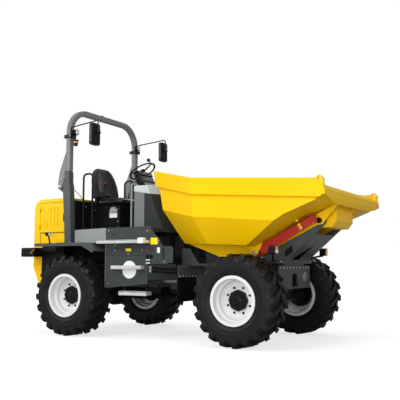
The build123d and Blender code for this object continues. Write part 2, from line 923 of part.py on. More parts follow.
steer_place = Location((at(steer_base[0]), steer_base[1], steer_height))
steer_length = steer_eye[0] - steer_base[0]
build_cylinder(
    "steer", steer_place, steer_barrel_radius, steer_rod_radius, steer_barrel_length,
    steer_length, steer_piston_station, steer_eye_radius, steer_eye_wall, 16, True,
)
tip_rise = tip_eye[1] - tip_base[1]
tip_run = tip_eye[0] - tip_base[0]
tip_place = Location((at(tip_base[0]), 0, tip_base[1]), (0, -degrees(atan2(tip_rise, tip_run)), 0))
build_cylinder(
    "tip", tip_place, tip_barrel_radius, tip_rod_radius, tip_barrel_length,
    hypot(tip_rise, tip_run), tip_piston_station, tip_eye_radius, tip_eye_wall, 24, False,
)

# Rear frame: rails, crossmembers, pivot barrel, cylinder bracket and outriggers
rear_in = rear_rail_y - rail_wall
with BuildPart() as rear_chassis:
    both(
        lambda side: slab(
            (rear_rail_rear, rear_rail_front), span(side, rear_in, rear_rail_y),
            (rear_rail_bottom, rear_rail_top),
        )
    )
    bulkhead(
        [
            (-rear_in, rear_rail_bottom), (-rear_in, rear_rail_top), (rear_in, rear_rail_top),
            (rear_in, rear_rail_bottom),
        ],
        (rear_rail_front - rail_wall, rear_rail_front),
    )
    slab((rear_rail_front - 30, rear_rail_front + 5), (-355, -165), (680, 780), Mode.SUBTRACT)
    slab(
        (pivot_station - 40, rear_rail_front - 1)[::-1], (-70, 70),
        (neck_bottom + neck_lug_wall + moving_gap, neck_top - neck_lug_wall - moving_gap),
    )
    post(
        pivot_station, 0, 78,
        (neck_bottom + neck_lug_wall + moving_gap, neck_top - neck_lug_wall - moving_gap),
    )
    post(pivot_station, 0, pivot_pin_radius + running_gap, (500, 950), Mode.SUBTRACT)
    slab((-1840, -1800), (-rear_in, rear_in), (660, 900))
    for low in (steer_height - 20 - moving_gap - 18, steer_height + 20 + moving_gap):
        slab((-1810, steer_base[0] + 30), (steer_base[1] - 36, steer_base[1] + 36), (low, low + 18))
    post(steer_base[0], steer_base[1], 16, (steer_height - 46, steer_height + 46))
    for s in (-3300, -2980):
        slab((s - 30, s + 30), (-rear_in, rear_in), (700, 760))
    slab((rear_rail_rear - 80, rear_rail_rear + 1), (-rear_rail_y, rear_rail_y), (700, 1000))
    for s in (-1920, -1500):
        both(
            lambda side: bulkhead(
                [
                    (side * rear_rail_y, 700), (side * rear_rail_y, 900), (side * 600, 1040),
                    (side * (panel_y - panel_wall - seat_gap), 1040),
                    (side * (panel_y - panel_wall - seat_gap), 960),
                ],
                (s - 12, s),
            )
        )
        both(lambda side: slab((s - 12, s), span(side, 560, 640), (1030, deck_height - deck_wall - seat_gap)))
    both(
        lambda side: slab(
            (-wheelbase - 95, -wheelbase + 95), span(side, rear_in, 470), (axle_top, rear_rail_bottom),
        )
    )
    both(
        lambda side: slab(
            (-wheelbase - 95, -wheelbase + 95), span(side, rear_rail_y, 470), (axle_top, axle_top + 60),
        )
    )
    both(
        lambda side: slab(
            (-2960, -2900), span(side, rear_rail_y, hood_half_width - hood_wall - seat_gap), (860, 910),
        )
    )
    both(lambda side: slab((-3440, -3400), span(side, 0, hood_half_width - hood_wall - seat_gap), (860, 910)))
write(rear_chassis, "rear_chassis")

with BuildPart() as engine_block:
    slab((-3340, -2945), (-270, 270), (760 + seat_gap, 1560))
    slab((-3200, -3020), (-200, 200), (620, 761))
write(engine_block, "engine_block")

with BuildPart() as transmission_block:
    slab((-2250, -1842), (-170, 170), (470, 880))
    both(lambda side: slab((-2100, -2000), span(side, 169, rear_in - seat_gap), (700, 760)))
write(transmission_block, "transmission_block")

with BuildPart() as drive_shaft_rear:
    for a, b in (
        (-1842 + seat_gap, pivot_station - 48), (-wheelbase + nose_reach + seat_gap, -2250 - seat_gap),
    ):
        with Locations((at((a + b) / 2), 0, shaft_height)):
            Cylinder(34, abs(b - a), rotation=(0, 90, 0))
write(drive_shaft_rear, "drive_shaft_rear")

with BuildPart() as drive_shaft_front:
    a, b = pivot_station + 48, -nose_reach - seat_gap
    with Locations((at((a + b) / 2), 0, shaft_height)):
        Cylinder(34, b - a, rotation=(0, 90, 0))
write(drive_shaft_front, "drive_shaft_front")

# Body sides, platform and fenders
with BuildPart() as side_panels:
    outline = [
        (panel_rear, 640), (-1270, 700), (-1270, 950), (-970, 950), (-970, 1165),
        (-1040, 1165), (-1218, 1385), (-1218, deck_height), (panel_rear, deck_height),
    ]
    both(lambda side: plate(outline, span(side, panel_y - panel_wall, panel_y)))
    for side in (-1, 1):
        ends = [(-1274, panel_y - 4), (-1075, 600)]
        tier(
            [(s, side * y) for s, y in ends] + [(s - panel_wall, side * y) for s, y in reversed(ends)],
            (760, 950),
        )
        tier(
            [
                (-1270, side * (panel_y - 4)), (-1075, side * 600), (-1085, side * 600),
                (-1285, side * (panel_y - 4)),
            ],
            (750, 760),
        )
write(side_panels, "side_panels")

# Steering hoses: from two unions on the right angled plate round its inner end to the rear frame
hose_radius = 11.0
with BuildPart() as steer_hoses:
    for drop in (0, 42):
        start = Vector(-1252, -907.7, 905 - drop)
        away = Vector(346, -199, 0).normalized()
        along = Vector(199, 346, 0).normalized()
        corner = start + away * 40
        route = [
            start + away * seat_gap,
            corner,
            corner + along * 200 + Vector(6, 0, -22),
            corner + along * 370 + Vector(0, 0, -20),
            Vector(-1090, -520, 872 - drop),
            Vector(-1300, -430, 826 - drop / 2),
            Vector(-1430, -320 + drop, 850),
            Vector(rear_rail_front + seat_gap, -320 + drop, 850),
        ]
        hose([(v.X, v.Y, v.Z) for v in route], hose_radius)
write(steer_hoses, "steer_hoses")

with BuildPart() as platform:
    y = panel_y - panel_wall - seat_gap
    z = (deck_height - deck_wall, deck_height)
    tier(
        [
            (-1375, 300), (-1375, -300), (-1440, -440), (-1235, -y), (-1950, -y), (-2650, -y + 172),
            (-2650, -650), (-2900, -650), (-2900, 650), (-2650, 650), (-2650, y - 172), (-1950, y),
            (-1235, y), (-1440, 440),
        ],
        z,
    )
    pocket = (z[0] - 1, z[1] - 8)
    slab((-1905, -1520), (-880, 880), pocket, Mode.SUBTRACT)
    slab((-2600, -1945), (-740, 740), pocket, Mode.SUBTRACT)
write(platform, "platform")

with BuildPart() as corner_panels:
    for side in (-1, 1):
        tier(
            [
                (-1950 - seat_gap, side * 950), (-2650, side * 778), (-2650, side * 770),
                (-1950 - seat_gap, side * 942),
            ],
            (fender_height + seat_gap, deck_height),
        )
        slab((-1962, -1950 - seat_gap), span(side, 480, 941), (650, deck_height - deck_wall - seat_gap))
write(corner_panels, "corner_panels")

with BuildPart() as fenders:
    for side in (-1, 1):
        top = [
            (fender_rear, fender_height), (fender_front, fender_height), (-2040, 1126), (-2040, 1113),
            (fender_front - 5, fender_height - fender_wall), (fender_rear, fender_height - fender_wall),
        ]
        plate(top, span(side, hood_half_width + seat_gap, fender_y))
        lip = [(s, z) for s, z in top[:3]] + [
            (-2040, 1092), (fender_front - 12, fender_height - 42), (fender_rear, fender_height - 42),
        ]
        plate(lip, span(side, fender_y - 8, fender_y))
write(fenders, "fenders")

with BuildPart() as steps:
    for side in (-1, 1):
        slab((-2000, -1160), span(side, panel_y + seat_gap, 1090), (1212, 1250))
        slab((-1980, -1180), span(side, panel_y + seat_gap + 14, 1076), (1210, 1240), Mode.SUBTRACT)
        slab((-1660, -1250), span(side, 900, 980), (570, 600))
        for s in (-1640, -1290):
            slab((s, s + 20), span(side, 920, 960), (599, 639.7 + (s + 1950) * 0.0882))
write(steps, "steps")

with BuildPart() as step_rails:
    for side in (-1, 1):
        tube(
            [
                (-1700, side * (panel_y + seat_gap), 905), (-1700, side * 1000, 905),
                (-1300, side * 1000, 905), (-1300, side * (panel_y + seat_gap), 905),
            ],
            12, 22,
        )
write(step_rails, "step_rails")

# Hood with its door openings, and the doors
door_gap = 5.0
hinge_station = door_rear - 5
hinge_y = hood_half_width + 12
with BuildPart() as engine_hood:
    profile = [
        (hood_front, hood_seat), (hood_front, hood_top), (hood_rear, hood_top), (hood_rear, hood_lump_height),
        (hood_lump_station, hood_foot), (hood_cut_station, hood_foot), (hood_cut_station, hood_seat),
    ]
    bent_plate(profile, hood_radii, (-hood_half_width, hood_half_width))
    crown = engine_hood.edges().filter_by(GeomType.LINE).filter_by(Axis.X).group_by(Axis.Z)[-1]
    fillet(crown, hood_edge_radius)
    inside = [
        (hood_front + 1, hood_seat - 1), (hood_front + 1, hood_top - hood_wall),
        (hood_rear + hood_wall, hood_top - hood_wall), (hood_rear + hood_wall, hood_lump_height),
        (hood_lump_station + hood_wall / 2, hood_foot + hood_wall),
        (hood_cut_station + 1, hood_foot + hood_wall), (hood_cut_station + 1, hood_seat - 1),
    ]
    inner_half = hood_half_width - hood_wall
    bent_plate(inside, hood_radii, (-inner_half, inner_half), Mode.SUBTRACT)
    wall_half = hood_half_width - hood_edge_radius
    slab((hood_front - hood_wall, hood_front), (-wall_half, wall_half), (hood_seat, hood_top - 5))
    slab(
        (hood_front - hood_wall, hood_front), (-hood_half_width + 2, hood_half_width - 2),
        (hood_seat, hood_top - 40),
    )
    both(
        lambda side: slab(
            (door_rear, door_front), span(side, hood_half_width - hood_wall - 4, hood_half_width + 4),
            (door_bottom, door_top), Mode.SUBTRACT,
        )
    )
    for side in (-1, 1):
        for h in (1500, 1750):
            post(hinge_station, side * hinge_y, 9, (h - 40, h - 3))
            slab(
                (hinge_station - 14, hinge_station), span(side, hood_half_width - 3, hinge_y),
                (h - 40, h - 3),
            )
            post(hinge_station, side * hinge_y, 4, (h - 5, h + 34))
write(engine_hood, "engine_hood")

for name, side in (("hood_door_right", -1), ("hood_door_left", 1)):
    with BuildPart() as door:
        slab(
            (door_rear + door_gap, door_front - door_gap),
            span(side, hood_half_width - door_wall, hood_half_width),
            (door_bottom + door_gap, door_top - door_gap),
        )
        for h in (1500, 1750):
            post(hinge_station, side * hinge_y, 9, (h + 3, h + 40))
            slab((hinge_station, door_rear + 30), span(side, hinge_y - 6, hinge_y + 3), (h + 3, h + 40))
            slab(
                (door_rear + door_gap, door_rear + 30), span(side, hood_half_width - 3, hinge_y + 3),
                (h + 3, h + 40),
            )
            post(hinge_station, side * hinge_y, 4.08, (h, h + 45), Mode.SUBTRACT)
        for n in range(louvre_count):
            start = louvre_start + louvre_pitch * n
            groove = span(side, hood_half_width - louvre_depth, hood_half_width + 1)
            slab((start, start + louvre_pitch / 2), groove, louvre_heights, Mode.SUBTRACT)
    write(door, name)

# Roll-over frame: lower posts and the folding hoop
with BuildPart() as rops_lower:
    for side in (-1, 1):
        y = side * rops_y
        half = rops_tube / 2
        slab(
            (rops_station - half, rops_station + half), (y - half, y + half),
            (fender_height + seat_gap, rops_split - 2.5),
        )
        web = [
            (-2905, fender_height + seat_gap), (-2905, 1640), (rops_station - half, 1960),
            (rops_station + half, 1960), (-2718, 1640), (-2718, fender_height + seat_gap),
        ]
        plate(web, (y - half - 8, y - half + 2))
        plate(web, (y + half - 2, y + half + 8))
        slab((-2930, -2695), (y - 60, y + 60), (fender_height + seat_gap, fender_height + 18))
        lug = [
            (rops_station - half + 1, 1930), (rops_fold_station - 30, rops_fold_height - 30),
            (rops_fold_station - 30, rops_fold_height + 32),
            (rops_fold_station + 20, rops_fold_height + 40), (rops_station - half + 1, 2120),
        ]
        plate(lug, (y - 20, y + 20))
        cross_bar(rops_fold_station, rops_fold_height, rops_fold_pin, (y - 44, y + 44))
write(rops_lower, "rops_lower")

with BuildPart() as rops_hoop:
    base = rops_split + 2.5
    with BuildLine() as path:
        FilletPolyline(
            (at(rops_station), -rops_y, base), (at(rops_station), -rops_y, rops_top),
            (at(rops_station), rops_y, rops_top), (at(rops_station), rops_y, base), radius=rops_corner,
        )
    with BuildSketch(Plane(origin=(at(rops_station), -rops_y, base), z_dir=(0, 0, 1))) as section:
        RectangleRounded(rops_tube, rops_tube, 14)
        RectangleRounded(rops_tube - 2 * rops_wall, rops_tube - 2 * rops_wall, 8, mode=Mode.SUBTRACT)
    sweep(section.sketch, path=path.line)
    for side in (-1, 1):
        gusset = [
            (rops_station - half + 1, 2526), (rops_fold_station - 12, 2250),
            (rops_fold_station - 40, rops_fold_height), (rops_fold_station - 26, rops_fold_height - 34),
            (rops_fold_station + 26, rops_fold_height - 34),
            (rops_fold_station + 46, rops_fold_height + 20), (rops_station - half - 12, 2160),
            (rops_station - half - 12, base), (rops_station - half + 1, base),
        ]
        for low in (side * rops_y - 40, side * rops_y + 28):
            plate(gusset, (low, low + 12))
        cross_bar(
            rops_fold_station, rops_fold_height, rops_fold_pin + running_gap,
            (side * rops_y - 50, side * rops_y + 50), Mode.SUBTRACT,
        )
write(rops_hoop, "rops_hoop")

# Lamps and mirrors on the hoop
with BuildPart() as work_lamps:
    for side in (-1, 1):
        y = side * rops_y
        slab((rops_station - 62, rops_station + 62), (y - 62, y + 62), (2735, 2780))
        slab(
            (rops_station - 62, rops_station + 62), (y - 40 - seat_gap, y + 40 + seat_gap), (2730, 2790),
            Mode.SUBTRACT,
        )
        slab((rops_station - 62, rops_station - 40 - seat_gap), (y - 62, y + 62), (2735, 2780))
        slab((rops_station + 40 + seat_gap, rops_station + 62), (y - 62, y + 62), (2735, 2780))
        rounded_block(
            (rops_station + 40 + seat_gap, rops_station + 110), span(side, 690, 765), (2779, 2860), 22, Axis.X
        )
write(work_lamps, "work_lamps")

with BuildPart() as beacon:
    slab((rops_station + 62 + seat_gap, rops_station + 74), (-790, -730), (2700, 2775))
    with BuildSketch(Plane.XZ) as section:
        with BuildLine():
            Polyline([(0, 2700), (38, 2700), (38, 2684), (32, 2684)])
            Line((32, 2684), (32, 2640))
            RadiusArc((32, 2640), (0, 2608), 32)
            Line((0, 2608), (0, 2700))
        make_face()
    revolve(
        Pos(at(rops_station + 110), -760, 0) * section.sketch,
        axis=Axis((at(rops_station + 110), -760, 0), (0, 0, 1)),
    )
    slab((rops_station + 66, rops_station + 112), (-780, -740), (2695, 2712))
write(beacon, "beacon")

with BuildPart() as mirrors:
    for side in (-1, 1):
        tube(
            [
                (rops_station + 50, side * 800, 2780 + seat_gap), (rops_station + 50, side * 800, 2880),
                (-2230, side * 815, 2922), (-2219, side * 815, 2740),
            ],
            9, 25,
        )
        rounded_block((-2300, -2255), span(side, 735, 915), (2575, 2880), 38, Axis.X)
        slab((-2257, -2205), span(side, 800, 830), (2735, 2765))
write(mirrors, "mirrors")

# Tail lamps and stalk lamps
with BuildPart() as tail_lamps:
    for side in (-1, 1):
        rounded_block((hood_rear + 4, -3340), span(side, hood_half_width + 40, 870), (1055, 1185), 20, Axis.X)
        slab((-3345, fender_rear + 60), span(side, 700, 730), (1130, 1185))
        slab(
            (fender_rear + 5, fender_rear + 60), span(side, 700, 730),
            (1180, fender_height - fender_wall - seat_gap),
        )
write(tail_lamps, "tail_lamps")

with BuildPart() as stalk_lamps:
    for side in (-1, 1):
        post(-3047, side * 850, 18, (fender_height + seat_gap, fender_height + 14))
        tube([(-3047, side * 850, fender_height + 8), (-3080, side * 850, 1350)], 11, 5)
        slab((-3120, -3060), span(side, 825, 875), (1345, 1395))
write(stalk_lamps, "stalk_lamps")

# Operator's place
def console_faces(shrink):
    """The console's sloping front faces, each moved inward by a wall."""
    foot = deck_height
    faces = []
    nose = ((console_nose_foot, 0, foot), (console_nose_foot, 100, foot), (console_nose, 0, console_top))
    faces.append(nose)
    for side in (-1, 1):
        faces.append(
            (
                (console_cheek_foot, side * console_half_width, foot),
                (console_shoulder, side * console_half_width, console_top),
                (console_nose, side * console_nose_half_width, console_top),
            )
        )
    planes = []
    for points in faces:
        a, b, c = (Vector(at(station), y, z) for station, y, z in points)
        normal = (b - a).cross(c - a).normalized()
        if normal.X < 0:
            normal = normal * -1
        planes.append(Plane(origin=a, z_dir=normal).offset(-shrink))
    return planes


def console_form(shrink, z):
    with BuildPart() as form:
        half = console_half_width - shrink
        slab((console_rear + shrink, console_nose_foot + 10), (-half, half), z)
        for face in console_faces(shrink):
            split(bisect_by=face, keep=Keep.BOTTOM)
    return form.part


with BuildPart() as console:
    add(console_form(0, (deck_height + seat_gap, console_top)))
    add(console_form(console_wall, (deck_height, console_top - console_wall)), mode=Mode.SUBTRACT)
write(console, "console")

with BuildPart() as instrument_pod:
    plate(
        [
            (-1925, console_top + seat_gap), (-2050, 2090), (-2110, 2250), (-2095, 2275), (-2025, 2275),
            (-1925, 2110), (-1850, console_top + seat_gap),
        ],
        (-150, 150),
    )
write(instrument_pod, "instrument_pod")

wheel_tilt = 16.0
with BuildPart() as steering_wheel:
    with Locations(Location((at(-2062), 0, 2330), (0, -wheel_tilt, 0))):
        Torus(195, 15)
        Cylinder(32, 40)
        Box(390, 30, 12)
        Box(30, 390, 12)
        with Locations((0, 0, -40)):
            Cylinder(18, 80)
    slab((-2200, -1900), (-400, 400), (2000, 2275 + seat_gap), Mode.SUBTRACT)
write(steering_wheel, "steering_wheel")

with BuildPart() as seat_base:
    slab((-2760, -2260), (-270, 270), (deck_height + seat_gap, 1790))
    slab((-2752, -2268), (-262, 262), (deck_height, 1782), Mode.SUBTRACT)
write(seat_base, "seat_base")

with BuildPart() as seat_cushions:
    squab = [(-2789.7, 1790 + seat_gap), (-2789.7, 1915), (-2230, 1915), (-2230, 1790 + seat_gap)]
    bent_plate(squab, (0, 0, 50, 30), (-250, 250))
    back_rest = [(-2789, 1865), (-2905, 2397), (-2835, 2397), (-2660, 1865)]
    bent_plate(back_rest, (0, 30, 30, 0), (-250, 250))
write(seat_cushions, "seat_cushions")

with BuildPart() as footwell_wall:
    slab((-2600, -1950), (340, 380), (deck_height + seat_gap, 1860))
write(footwell_wall, "footwell_wall")

with BuildPart() as control_box:
    slab((-2895, -2790), (-450, 450), (deck_height + seat_gap, 1860))
    slab((-2887, -2798), (-442, 442), (deck_height, 1852), Mode.SUBTRACT)
write(control_box, "control_box")

with BuildPart() as handrails:
    for side in (-1, 1):
        tube(
            [
                (-2600, side * 480, deck_height + seat_gap), (-2600, side * 480, 2250),
                (-2770, side * 480, 2250), (-2770, side * 480, deck_height + seat_gap),
            ],
            14, 60,
        )
        tube(
            [
                (-1955, side * 400, deck_height + seat_gap), (-1955, side * 400, 2060),
                (-1900, side * 350, 2060), (-1900, side * 350, console_top + seat_gap),
            ],
            14, 20,
        )
write(handrails, "handrails")
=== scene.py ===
"""Looks of the articulated site dumper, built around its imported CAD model, in metres."""

import bmesh
import bpy
import json
from math import cos, pi, radians, sin, sqrt
from mathutils import Matrix, Vector


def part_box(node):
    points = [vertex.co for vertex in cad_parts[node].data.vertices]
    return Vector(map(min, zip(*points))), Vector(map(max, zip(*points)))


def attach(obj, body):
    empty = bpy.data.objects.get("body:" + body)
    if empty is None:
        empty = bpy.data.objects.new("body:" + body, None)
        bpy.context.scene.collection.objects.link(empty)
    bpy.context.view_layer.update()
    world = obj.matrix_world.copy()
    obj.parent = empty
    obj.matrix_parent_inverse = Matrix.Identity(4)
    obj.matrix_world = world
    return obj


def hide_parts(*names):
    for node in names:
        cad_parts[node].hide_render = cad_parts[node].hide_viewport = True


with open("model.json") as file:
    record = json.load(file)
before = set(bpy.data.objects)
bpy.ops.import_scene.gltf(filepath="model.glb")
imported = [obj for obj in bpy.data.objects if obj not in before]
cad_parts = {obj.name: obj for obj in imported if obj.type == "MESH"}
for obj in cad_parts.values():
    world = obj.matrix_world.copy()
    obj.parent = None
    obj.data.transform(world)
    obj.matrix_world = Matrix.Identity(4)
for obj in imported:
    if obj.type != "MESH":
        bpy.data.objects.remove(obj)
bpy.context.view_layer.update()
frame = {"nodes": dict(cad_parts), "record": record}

# Places taken from the frame: stations run forward from the front axle
hub_low, hub_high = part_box("hub_front_right")
AXLE_X = (hub_low.x + hub_high.x) / 2
AXLE_Z = (hub_low.z + hub_high.z) / 2
REAR_X = sum(c.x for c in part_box("hub_rear_right")) / 2
tyre_low, tyre_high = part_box("tyre_front_left")
WHEEL_Y = (tyre_low.y + tyre_high.y) / 2
SIDES = ((-1, "right"), (1, "left"))
POST_Y = 0.760
FOLD_PIN = (-2.930, 2.043)
DECK_TOP = 1.4203


def at(station):
    return AXLE_X + station


# Materials
def new_material(name):
    mat = bpy.data.materials.new(name)
    mat.use_nodes = True
    tree = mat.node_tree
    return mat, tree, tree.nodes["Principled BSDF"]


def put(tree, kind, **values):
    node = tree.nodes.new(kind)
    for key, value in values.items():
        if key in node.inputs.keys():
            node.inputs[key].default_value = value
        else:
            setattr(node, key, value)
    return node


def join(tree, out, socket):
    tree.links.new(out, socket)


def noise_value(tree, scale, detail=3.0, roughness=0.5, stretch=None):
    coord = put(tree, "ShaderNodeTexCoord")
    tex = put(tree, "ShaderNodeTexNoise", Scale=scale, Detail=detail, Roughness=roughness)
    source = coord.outputs["Object"]
    if stretch:
        mapping = put(tree, "ShaderNodeMapping", Scale=stretch)
        join(tree, source, mapping.inputs["Vector"])
        source = mapping.outputs["Vector"]
    join(tree, source, tex.inputs["Vector"])
    return tex.outputs["Fac"]


def spread(tree, value, low, high, to_low, to_high):
    node = put(tree, "ShaderNodeMapRange")
    node.inputs["From Min"].default_value = low
    node.inputs["From Max"].default_value = high
    node.inputs["To Min"].default_value = to_low
    node.inputs["To Max"].default_value = to_high
    join(tree, value, node.inputs["Value"])
    return node.outputs["Result"]


def tinted(colour, factor):
    return tuple(min(1.0, c * factor) for c in colour) + (1.0,)


def mix_colour(tree, factor, a, b):
    node = put(tree, "ShaderNodeMix", data_type="RGBA")
    for socket, value in ((6, a), (7, b)):
        if isinstance(value, tuple):
            node.inputs[socket].default_value = value
        else:
            join(tree, value, node.inputs[socket])
    if isinstance(factor, float):
        node.inputs[0].default_value = factor
    else:
        join(tree, factor, node.inputs[0])
    return node.outputs[2]


def edge_mask(tree, radius):
    """1 along sharp edges, 0 on flats: how far the rounded normal leans from the true one."""
    bevel = put(tree, "ShaderNodeBevel", samples=4, Radius=radius)
    geometry = put(tree, "ShaderNodeNewGeometry")
    dot = put(tree, "ShaderNodeVectorMath", operation="DOT_PRODUCT")
    join(tree, bevel.outputs["Normal"], dot.inputs[0])
    join(tree, geometry.outputs["Normal"], dot.inputs[1])
    return spread(tree, dot.outputs["Value"], 0.99, 0.8, 0.0, 1.0)


def surface(name, colour, rough, metallic=0.0, vary=0.06, vary_scale=2.5, bump=0.02, bump_scale=300.0,
            coat=0.0, round_edge=0.003, worn=0.0, worn_colour=(0.5, 0.5, 0.5), dust=0.0, specular=0.5, ahead=None):
    """A finish with drifting colour, uneven gloss, a fine grain, rounded edges, wear and road dust."""
    mat, tree, shader = new_material(name)
    drift = noise_value(tree, vary_scale, 4.0)
    tone = spread(tree, drift, 0.3, 0.7, 0.0, 1.0)
    tint = mix_colour(tree, tone, tinted(colour, 1 - vary), tinted(colour, 1 + vary))
    if ahead:
        coord = put(tree, "ShaderNodeTexCoord")
        split = put(tree, "ShaderNodeSeparateXYZ")
        join(tree, coord.outputs["Object"], split.inputs[0])
        beyond = spread(tree, split.outputs["X"], ahead[0] - 0.002, ahead[0] + 0.002, 0.0, 1.0)
        tint = mix_colour(tree, beyond, tint, tinted(ahead[1], 1.0))
    if worn:
        mask = put(tree, "ShaderNodeMath", operation="MULTIPLY")
        join(tree, edge_mask(tree, 0.006), mask.inputs[0])
        join(tree, spread(tree, noise_value(tree, 28.0, 5.0, 0.65), 0.45, 0.62, 0.0, worn), mask.inputs[1])
        tint = mix_colour(tree, mask.outputs[0], tint, tinted(worn_colour, 1.0))
    if dust:
        coord = put(tree, "ShaderNodeTexCoord")
        split = put(tree, "ShaderNodeSeparateXYZ")
        join(tree, coord.outputs["Object"], split.inputs[0])
        low = spread(tree, split.outputs["Z"], 0.1, 1.2, dust, 0.0)
        mask = put(tree, "ShaderNodeMath", operation="MULTIPLY")
        join(tree, low, mask.inputs[0])
        join(tree, spread(tree, noise_value(tree, 7.0, 6.0, 0.7), 0.35, 0.7, 0.3, 1.0), mask.inputs[1])
        tint = mix_colour(tree, mask.outputs[0], tint, (0.30, 0.27, 0.23, 1.0))
    join(tree, tint, shader.inputs["Base Color"])
    gloss = noise_value(tree, 9.0, 5.0, 0.6)
    join(
        tree, spread(tree, gloss, 0.3, 0.7, rough * 0.86, min(1.0, rough * 1.14)),
        shader.inputs["Roughness"],
    )
    shader.inputs["Metallic"].default_value = metallic
    shader.inputs["Coat Weight"].default_value = coat
    shader.inputs["Coat Roughness"].default_value = 0.12
    shader.inputs["Specular IOR Level"].default_value = specular
    grain = put(tree, "ShaderNodeBump", Strength=bump, Distance=0.002)
    join(tree, noise_value(tree, bump_scale, 2.0), grain.inputs["Height"])
    if round_edge:
        bevel = put(tree, "ShaderNodeBevel", samples=4, Radius=round_edge)
        join(tree, bevel.outputs["Normal"], grain.inputs["Normal"])
    join(tree, grain.outputs["Normal"], shader.inputs["Normal"])
    return mat


MAT = {
    "yellow": surface("yellow_paint", (0.89, 0.535, 0.001), 0.36, coat=0.03, vary=0.02, bump=0.03, worn=0.2,
                      worn_colour=(0.60, 0.38, 0.01), round_edge=0.006, specular=0.12),
    "dark_grey": surface("dark_grey_paint", (0.062, 0.068, 0.069), 0.38, coat=0.06, vary=0.07, bump=0.06,
                         worn=0.25, worn_colour=(0.16, 0.17, 0.17), dust=0.01, round_edge=0.004, specular=0.2),
    "panel_grey": surface("panel_grey_paint", (0.043, 0.049, 0.050), 0.40, coat=0.05, vary=0.07, bump=0.06,
                          worn=0.25, worn_colour=(0.16, 0.17, 0.17), round_edge=0.004, specular=0.14),
    "console_dark": surface("console_dark_paint", (0.030, 0.034, 0.034), 0.40, vary=0.06, bump=0.04, worn=0.2,
                            worn_colour=(0.12, 0.13, 0.13), round_edge=0.004, specular=0.12),
    "light_grey": surface("light_grey_paint", (0.25, 0.27, 0.268), 0.38, coat=0.08, vary=0.05, bump=0.05,
                          worn=0.25, worn_colour=(0.42, 0.43, 0.43), dust=0.04, round_edge=0.005, specular=0.3),
    "mid_grey": surface("mid_grey_paint", (0.165, 0.180, 0.180), 0.36, coat=0.05, vary=0.03, bump=0.03,
                        worn=0.15, worn_colour=(0.28, 0.29, 0.29), round_edge=0.005, specular=0.25),
    "hoop_grey": surface("hoop_grey_paint", (0.165, 0.180, 0.180), 0.36, coat=0.05, vary=0.03, bump=0.02,
                         round_edge=0.0, specular=0.25),
    "black": surface("black_steel_paint", (0.006, 0.0065, 0.007), 0.34, vary=0.15, bump=0.08, worn=0.3,
                     worn_colour=(0.05, 0.05, 0.05), specular=0.14),
    "white_rim": surface("rim_paint", (0.72, 0.73, 0.72), 0.34, coat=0.15, vary=0.03, bump=0.03, worn=0.3,
                         worn_colour=(0.40, 0.39, 0.38), dust=0.06),
    "red": surface("red_paint", (0.42, 0.012, 0.006), 0.35, coat=0.15, vary=0.06, bump=0.04, worn=0.4,
                   worn_colour=(0.2, 0.05, 0.03), specular=0.3),
    "tyre": surface("tyre_rubber", (0.010, 0.0105, 0.0105), 0.42, vary=0.22, vary_scale=6.0, bump=0.25,
                    bump_scale=120.0, worn=0.5, worn_colour=(0.045, 0.045, 0.045), round_edge=0.004,
                    specular=0.14),
    "rubber": surface("flap_rubber", (0.006, 0.006, 0.006), 0.5, vary=0.2, bump=0.2, bump_scale=160.0,
                      specular=0.1),
    "plastic": surface("black_plastic", (0.007, 0.0075, 0.008), 0.36, vary=0.12, bump=0.12, bump_scale=700.0,
                       specular=0.16),
    "vinyl": surface("black_vinyl", (0.010, 0.0105, 0.011), 0.30, vary=0.15, bump=0.25, bump_scale=520.0,
                     coat=0.1, round_edge=0.0, specular=0.3),
    "rail_paint": surface("rail_paint", (0.007, 0.0075, 0.008), 0.36, vary=0.12, bump=0.08, specular=0.16,
                          ahead=(at(-2.2), (0.24, 0.26, 0.258))),
    "beacon_lens": surface("beacon_lens", (0.010, 0.009, 0.008), 0.18, coat=0.3, vary=0.08, bump=0.05,
                           round_edge=0.0, specular=0.3),
    "chrome": surface("rod_chrome", (0.72, 0.73, 0.75), 0.12, metallic=1.0, vary=0.02, bump=0.01),
    "steel": surface(
        "zinc_steel", (0.50, 0.51, 0.52), 0.32, metallic=1.0, vary=0.10, bump=0.08, bump_scale=400.0,
    ),
    "aluminium": surface("step_aluminium", (0.72, 0.73, 0.73), 0.36, metallic=0.55, vary=0.06, bump=0.25,
                         bump_scale=180.0, worn=0.2, worn_colour=(0.85, 0.85, 0.85)),
    "amber": surface("amber_lens", (0.85, 0.30, 0.02), 0.18, coat=0.5, vary=0.08, bump=0.05, round_edge=0.0),
    "clear": surface("clear_lens", (0.82, 0.84, 0.85), 0.12, coat=0.7, vary=0.05, bump=0.1, bump_scale=90.0,
                     round_edge=0.0),
    "red_lens": surface(
        "red_lens", (0.35, 0.01, 0.008), 0.18, coat=0.6, vary=0.08, bump=0.05, round_edge=0.0,
    ),
    "mirror": surface(
        "mirror_glass", (0.80, 0.82, 0.83), 0.04, metallic=1.0, vary=0.02, bump=0.0, round_edge=0.0,
    ),
    "cap_grey": surface(
        "cap_grey_paint", (0.52, 0.57, 0.565), 0.34, coat=0.15, vary=0.04, bump=0.05, dust=0.03,
    ),
    "plate": surface("blank_plate", (0.80, 0.81, 0.80), 0.4, vary=0.03, bump=0.03),
    "yellow_plate": surface("yellow_plate", (0.85, 0.62, 0.01), 0.4, vary=0.04, bump=0.03, specular=0.3),
}

